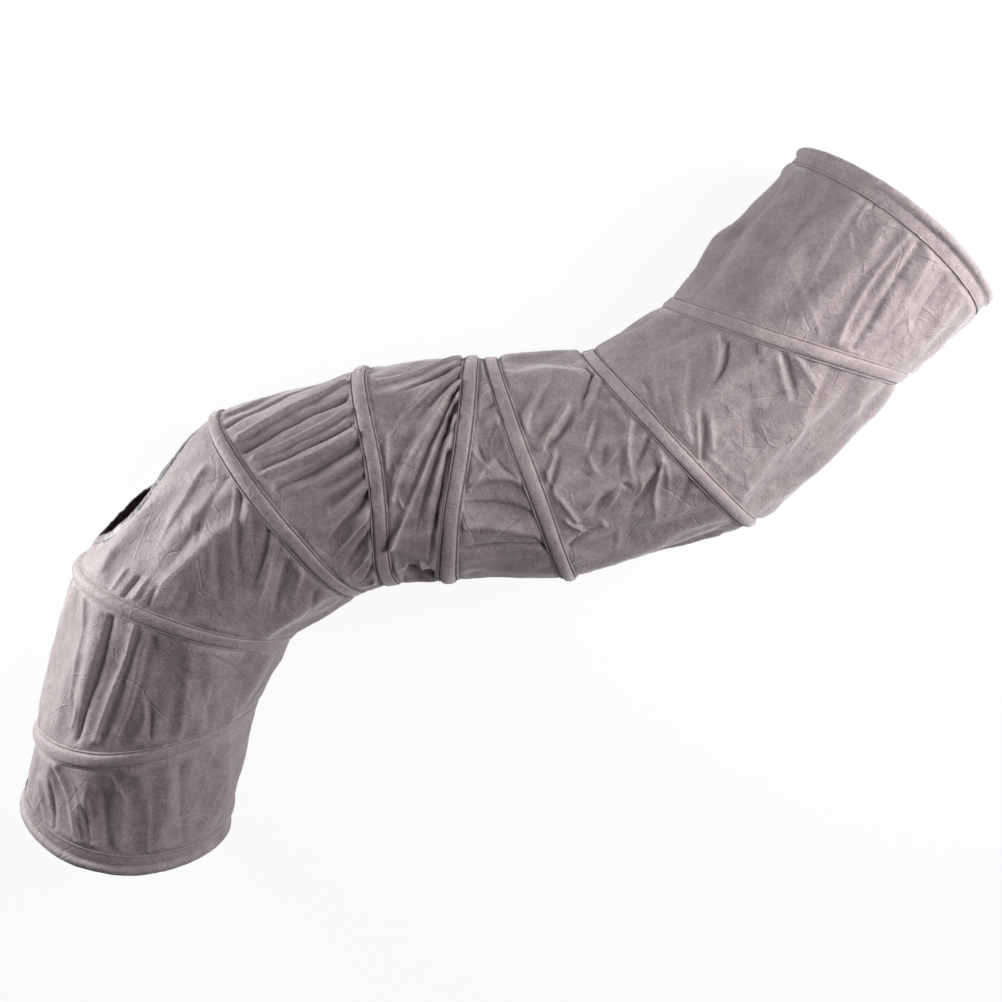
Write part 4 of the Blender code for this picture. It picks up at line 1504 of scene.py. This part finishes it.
def makeEdging():
    count = edging["steps"]
    closed = np.concatenate([holeEdge, holeEdge[:1]])
    closedNormals = np.concatenate([holeEdgeNormals, holeEdgeNormals[:1]])
    lengths = lengthsAlong(closed)
    at = np.linspace(0, lengths[-1], count, endpoint=False)
    line, normals = (
        np.stack([np.interp(at, lengths, axis) for axis in values.T], axis=1)
        for values in (closed, closedNormals)
    )
    for _ in range(edging["smoothed"]):
        line = (np.roll(line, 1, 0) + 2 * line + np.roll(line, -1, 0)) / 4
        normals = unit(np.roll(normals, 1, 0) + 2 * normals + np.roll(normals, -1, 0))
    way = unit(np.roll(line, -1, 0) - np.roll(line, 1, 0))
    into = unit(np.cross(normals, way))
    centre = line.mean(0)
    if ((centre - line) * into).sum() < 0:
        into = -into
    ring, fine = (roundNoise(count, often, (0, 0, edging["seed"])) for often in edging["waves"])
    (curl, curlMore), (uneven, unevenWide) = edging["curl"], edging["uneven"]
    points = np.zeros((count, edging["around"], 3))
    for n in range(edging["around"]):
        a = 2 * math.pi * n / edging["around"]
        across = edging["wide"] / 2 * rounded(math.cos(a), 0.75)
        out = edging["thick"] / 2 * rounded(math.sin(a), 0.8)
        lift = out + uneven * fine + (curl + curlMore * ring) * across * edging["lean"]
        reach = (across - edging["overlap"]) * (1 + unevenWide * fine) + uneven * ring
        points[:, n] = line + into * reach[:, None] + normals * (lift - cloth["thickness"] / 2)[:, None]
    piece = sweptPiece("hole_edging", points, *gridNormals(points, closed=True), closed=True)
    blendAcross(piece, hole["joint"], wedgeWeights(hole["joint"], points.reshape(-1, 3)))
    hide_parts("hole_rim")
    return piece


holeEdging = makeEdging()
print("edging made")


# The wires and crimps, as the CAD has them but leaned inside their tapes and hems
def leanedWire(source, body):
    shape = bmesh.new()
    shape.from_mesh(bpy.data.objects[source].data)
    bmesh.ops.remove_doubles(shape, verts=shape.verts, dist=0.00001)
    points = np.array([v.co for v in shape.verts])
    faces = [[v.index for v in f.verts] for f in shape.faces]
    shape.free()
    piece = meshPiece(f"leaned_{source}", points, faces)
    piece.data.set_sharp_from_angle(angle=math.radians(40))
    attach(piece, body)
    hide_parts(source)


for number in allJoints[:-1]:
    leanedWire(f"wire_{number:02d}", segmentBody[number])
for end in ("low", "high"):
    leanedWire(f"hoop_wire_{end}", f"hoop_{end}")
    leanedWire(f"ferrule_{end}", f"hoop_{end}")
print("wires leaned")


# What the cloth was cut to
for joint, (piece, area) in clothParts.items():
    wide = 2 * coil["wireRing"] * math.radians(cutOpening(openings[joint - 1]))
    wide += coil["hoopOut"] if joint in (1, lastJoint) else 0.0
    [p.name for p in tapeParts[joint]]


# Materials
def newMaterial(name):
    material = bpy.data.materials.new(name)
    material.use_nodes = True
    tree = material.node_tree
    place = node(tree, "ShaderNodeTexCoord").outputs["Object"]
    return material, tree, tree.nodes["Principled BSDF"], place


def node(tree, kind, **values):
    made = tree.nodes.new(kind)
    for key, value in values.items():
        setattr(made, key, value)
    return made


# a socket gets another one's output, a number, or a colour or direction
def feed(tree, value, socket):
    if isinstance(value, bpy.types.NodeSocket):
        tree.links.new(value, socket)
    elif isinstance(value, tuple) and socket.type == "RGBA":
        socket.default_value = (*value, 1.0)
    else:
        socket.default_value = value


def feedAll(tree, made, values):
    for key, value in values.items():
        feed(tree, value, made.inputs[key])
    return made


def noiseNode(tree, place, scale, detail, rough=0.5, distort=0.0):
    values = {"Vector": place, "Scale": scale, "Detail": detail, "Roughness": rough, "Distortion": distort}
    return feedAll(tree, node(tree, "ShaderNodeTexNoise"), values)


def noiseAt(tree, place, scale, detail, rough=0.55, distort=0.0):
    return noiseNode(tree, place, scale, detail, rough, distort).outputs["Fac"]


def rampOf(tree, value, stops):
    made = node(tree, "ShaderNodeValToRGB")
    ramp = made.color_ramp
    while len(ramp.elements) > len(stops):
        ramp.elements.remove(ramp.elements[-1])
    while len(ramp.elements) < len(stops):
        ramp.elements.new(0.5)
    for element, (at, colour) in zip(ramp.elements, stops):
        element.position = at
        element.color = (*colour, 1.0)
    tree.links.new(value, made.inputs["Fac"])
    return made.outputs["Color"]


def mixed(tree, factor, a, b, blend="MIX"):
    made = node(tree, "ShaderNodeMix", data_type="RGBA", blend_type=blend)
    for value, socket in ((factor, made.inputs[0]), (a, made.inputs[6]), (b, made.inputs[7])):
        feed(tree, value, socket)
    return made.outputs[2]


def maths(tree, operation, a, b, clamp=False):
    made = node(tree, "ShaderNodeMath", operation=operation, use_clamp=clamp)
    feed(tree, a, made.inputs[0])
    feed(tree, b, made.inputs[1])
    return made.outputs[0]


# the sum of values, each times its share
def weighted(tree, *terms):
    total = None
    for value, share in terms:
        value = maths(tree, "MULTIPLY", value, share)
        total = value if total is None else maths(tree, "ADD", total, value)
    return total


def bumped(tree, shader, height, strength, distance):
    values = {"Strength": strength, "Distance": distance, "Height": height}
    made = feedAll(tree, node(tree, "ShaderNodeBump"), values)
    tree.links.new(made.outputs["Normal"], shader.inputs["Normal"])


suede = {
    "dark": (0.246, 0.201, 0.208),
    "base": (0.320, 0.264, 0.272),
    "light": (0.398, 0.336, 0.343),
    "reverse": (0.36, 0.225, 0.215),   # painted light: the inner side is the same cloth, tinted redder for light shining through it
    # lighter ridges: worn nap and a painted highlight; darker valleys: painted shade in the folds
    "ridgeColour": (0.52, 0.455, 0.46),
    "valleyColour": (0.130, 0.105, 0.110),
    "ridgeShare": 0.22,
    "valleyShare": 0.28,
    "rough": 0.62,
    "sheen": 0.6,
    "sheenRough": 0.42,
    "crinkleWidth": 0.0013,
    "crinkleWarp": 0.22,
    # scale, seed and height of each layer of crinkles
    "crinkles": [(13.0, 7.7, 0.55), (19.0, 1.9, -0.50), (36.0, 0.0, 0.36), (75.0, 3.1, -0.28)],
}


# thin lines between the cells of a warped pattern, in patches; 1 on a line and 0 off it
def crinkles(tree, place, scale, seed):
    warp = noiseNode(tree, place, scale * 0.7, 2.0)
    moved = node(tree, "ShaderNodeVectorMath", operation="SCALE")
    feedAll(tree, moved, {"Vector": warp.outputs["Color"], "Scale": suede["crinkleWarp"] / scale})
    shifted = node(tree, "ShaderNodeVectorMath", operation="ADD")
    warped = node(tree, "ShaderNodeVectorMath", operation="ADD")
    feed(tree, place, shifted.inputs[0])
    feed(tree, (seed, 0.7 * seed, -seed), shifted.inputs[1])
    feed(tree, shifted.outputs[0], warped.inputs[0])
    feed(tree, moved.outputs[0], warped.inputs[1])
    cells = node(tree, "ShaderNodeTexVoronoi", feature="DISTANCE_TO_EDGE")
    feedAll(tree, cells, {"Vector": warped.outputs[0], "Scale": scale})
    white, black = (1.0, 1.0, 1.0), (0.0, 0.0, 0.0)
    width = scale * suede["crinkleWidth"]
    line = rampOf(tree, cells.outputs["Distance"], [(0.0, white), (width, black)])
    patches = noiseAt(tree, shifted.outputs[0], scale * 1.1, 1.0)
    return maths(tree, "MULTIPLY", line, rampOf(tree, patches, [(0.50, black), (0.64, white)]))


def suedeMaterial(name, lift, withRidgeWearAndPaintedLight):
    material, tree, shader, place = newMaterial(name)
    cloud = noiseAt(tree, place, 16.0, 3.0, 0.6, 0.4)
    brushed = noiseAt(tree, place, 75.0, 4.0, 0.65, 0.6)
    nap = noiseAt(tree, place, 900.0, 2.0, 0.6)
    fibre = noiseAt(tree, place, 330.0, 3.0, 0.7, 0.8)
    worn = weighted(tree, (cloud, 0.45), (brushed, 0.55))
    colour = rampOf(tree, worn, [(0.32, suede["dark"]), (0.50, suede["base"]), (0.68, suede["light"])])
    if withRidgeWearAndPaintedLight:
        ridge = node(tree, "ShaderNodeAttribute", attribute_name="ridge").outputs["Fac"]
        reverse = node(tree, "ShaderNodeAttribute", attribute_name="reverse").outputs["Fac"]
        # the cloth's ridges lightened for worn nap and a painted highlight, its valleys darkened with
        # painted shade
        up = maths(tree, "MULTIPLY", ridge, suede["ridgeShare"], clamp=True)
        valleyShadeMask = maths(tree, "MULTIPLY", ridge, -suede["valleyShare"], clamp=True)
        colour = mixed(tree, up, colour, suede["ridgeColour"])
        colour = mixed(tree, valleyShadeMask, colour, suede["valleyColour"])
        # painted light: the inner side tinted redder as if lit through the cloth
        colour = mixed(tree, reverse, colour, suede["reverse"])
    fleck = rampOf(tree, nap, [(0.35, (0.86, 0.86, 0.86)), (0.65, (1.0, 1.0, 1.0))])
    strand = rampOf(tree, fibre, [(0.34, (0.80, 0.795, 0.795)), (0.62, (1.07, 1.07, 1.07))])
    for layer in (strand, fleck, (lift, lift, lift)):
        colour = mixed(tree, 1.0, colour, layer, "MULTIPLY")
    height = weighted(tree, (brushed, 0.6), (nap, 0.25), (fibre, 0.55))
    for scale, seed, tall in suede["crinkles"]:
        height = maths(tree, "ADD", height, weighted(tree, (crinkles(tree, place, scale, seed), tall)))
    roughness = maths(tree, "ADD", weighted(tree, (brushed, 0.22)), suede["rough"] - 0.11)
    feedAll(tree, shader, {
        "Base Color": colour,
        "Roughness": roughness,
        "Specular IOR Level": 0.42,
        "Sheen Weight": suede["sheen"],
        "Sheen Roughness": suede["sheenRough"],
        "Sheen Tint": (0.95, 0.90, 0.90),
    })
    bumped(tree, shader, height, 0.6, 0.0016)
    return material


def satinMaterial():
    material, tree, shader, place = newMaterial("satinEdging")
    cloud = noiseAt(tree, place, 60.0, 4.0, 0.6, 0.5)
    weave = noiseAt(tree, place, 700.0, 2.0)
    colour = rampOf(tree, cloud, [(0.3, (0.085, 0.080, 0.084)), (0.7, (0.21, 0.198, 0.204))])
    feedAll(tree, shader, {"Base Color": colour, "Roughness": 0.45})
    bumped(tree, shader, maths(tree, "ADD", cloud, weighted(tree, (weave, 0.15))), 0.4, 0.0012)
    return material


def threadMaterial():
    material, tree, shader, place = newMaterial("sewingThread")
    twist = noiseAt(tree, place, 1400.0, 2.0)
    colour = rampOf(tree, twist, [(0.3, (0.13, 0.112, 0.117)), (0.7, (0.24, 0.212, 0.218))])
    feedAll(tree, shader, {"Base Color": colour, "Roughness": 0.6})
    bumped(tree, shader, twist, 0.4, 0.0004)
    return material


def steelMaterial(name, dark, light, rough):
    material, tree, shader, place = newMaterial(name)
    grain = noiseAt(tree, place, 320.0, 5.0, 0.7)
    roughness = maths(tree, "ADD", weighted(tree, (grain, 0.2)), rough - 0.1)
    colour = rampOf(tree, grain, [(0.35, dark), (0.65, light)])
    feedAll(tree, shader, {"Base Color": colour, "Metallic": 1.0, "Roughness": roughness})
    bumped(tree, shader, grain, 0.2, 0.0003)
    return material


springColours = (0.36, 0.37, 0.38), (0.52, 0.53, 0.54)
crimpColours = (0.42, 0.42, 0.41), (0.60, 0.60, 0.58)
finishes = [
    (("tape_stitches", "turnover_stitches", "hem_stitches"), threadMaterial()),
    ("tunnel_cloth", suedeMaterial("tunnelSuede", 1.0, True)),
    (("binding_tape", "tape_turnover"), suedeMaterial("tapeSuede", 1.12, False)),
    ("hem_cloth", suedeMaterial("hemSuede", 1.05, False)),
    ("hole_edging", satinMaterial()),
    (("leaned_wire", "leaned_hoop"), steelMaterial("springSteel", *springColours, 0.3)),
    ("leaned_ferrule", steelMaterial("crimpSteel", *crimpColours, 0.42)),
]
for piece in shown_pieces():
    for starts, material in finishes:
        if piece.name.startswith(starts):
            piece.data.materials.clear()
            piece.data.materials.append(material)
print("materials set")


# White table, soft lamps
studio = {
    "world": 0.045,
    "lamps": [
        # place, aim, size, watts
        ((-1.10, 0.24, 0.20), (-0.35, -0.05, 0.12), 0.30, 12.8),
        ((0.86, 0.36, 1.30), (0.27, 0.20, 0.12), 0.70, 15.4),
        ((0.95, 0.32, 0.45), (0.25, 0.20, 0.12), 0.40, 6.2),
    ],
    "table": (0.93, 0.93, 0.93),
    "tableGlow": 0.93,
}


def makeTable():
    bpy.ops.object.select_all(action="DESELECT")
    bpy.ops.mesh.primitive_plane_add(size=240.0, location=(0, 0, -0.0004))
    table = bpy.context.object
    table.name = "table"
    material, tree, shader, _ = newMaterial("tablePaper")
    feedAll(tree, shader, {"Base Color": studio["table"], "Roughness": 0.9})
    glow = feedAll(tree, node(tree, "ShaderNodeEmission"), {"Strength": 1.0})
    blend = node(tree, "ShaderNodeMixShader")
    path = node(tree, "ShaderNodeLightPath")
    seen = maths(tree, "MAXIMUM", path.outputs["Is Camera Ray"], path.outputs["Is Glossy Ray"])
    seen = maths(tree, "MAXIMUM", seen, path.outputs["Is Transmission Ray"])
    tree.links.new(maths(tree, "MULTIPLY", seen, studio["tableGlow"]), blend.inputs[0])
    tree.links.new(shader.outputs[0], blend.inputs[1])
    tree.links.new(glow.outputs[0], blend.inputs[2])
    tree.links.new(blend.outputs[0], tree.nodes["Material Output"].inputs["Surface"])
    table.data.materials.append(material)


def makeWorld():
    world = bpy.data.worlds.new("room")
    world.use_nodes = True
    tree = world.node_tree
    back = tree.nodes["Background"]
    seenBack = node(tree, "ShaderNodeBackground")
    feedAll(tree, back, {"Color": (1.0, 1.0, 1.0), "Strength": studio["world"]})
    feedAll(tree, seenBack, {"Color": (1.0, 1.0, 1.0), "Strength": 1.0})
    path = node(tree, "ShaderNodeLightPath")
    blend = node(tree, "ShaderNodeMixShader")
    tree.links.new(path.outputs["Is Camera Ray"], blend.inputs[0])
    tree.links.new(back.outputs[0], blend.inputs[1])
    tree.links.new(seenBack.outputs[0], blend.inputs[2])
    tree.links.new(blend.outputs[0], tree.nodes["World Output"].inputs["Surface"])
    bpy.context.scene.world = world


def makeLamps():
    for n, (place, aim, size, power) in enumerate(studio["lamps"]):
        data = bpy.data.lights.new(f"lamp{n}", "AREA")
        data.size = size
        data.energy = power
        lamp = bpy.data.objects.new(f"lamp{n}", data)
        lamp.location = place
        lamp.rotation_euler = (Vector(place) - Vector(aim)).to_track_quat("Z", "Y").to_euler()
        bpy.context.scene.collection.objects.link(lamp)


makeTable()
makeWorld()
makeLamps()
bpy.context.scene.view_settings.view_transform = "Standard"
print("studio set")
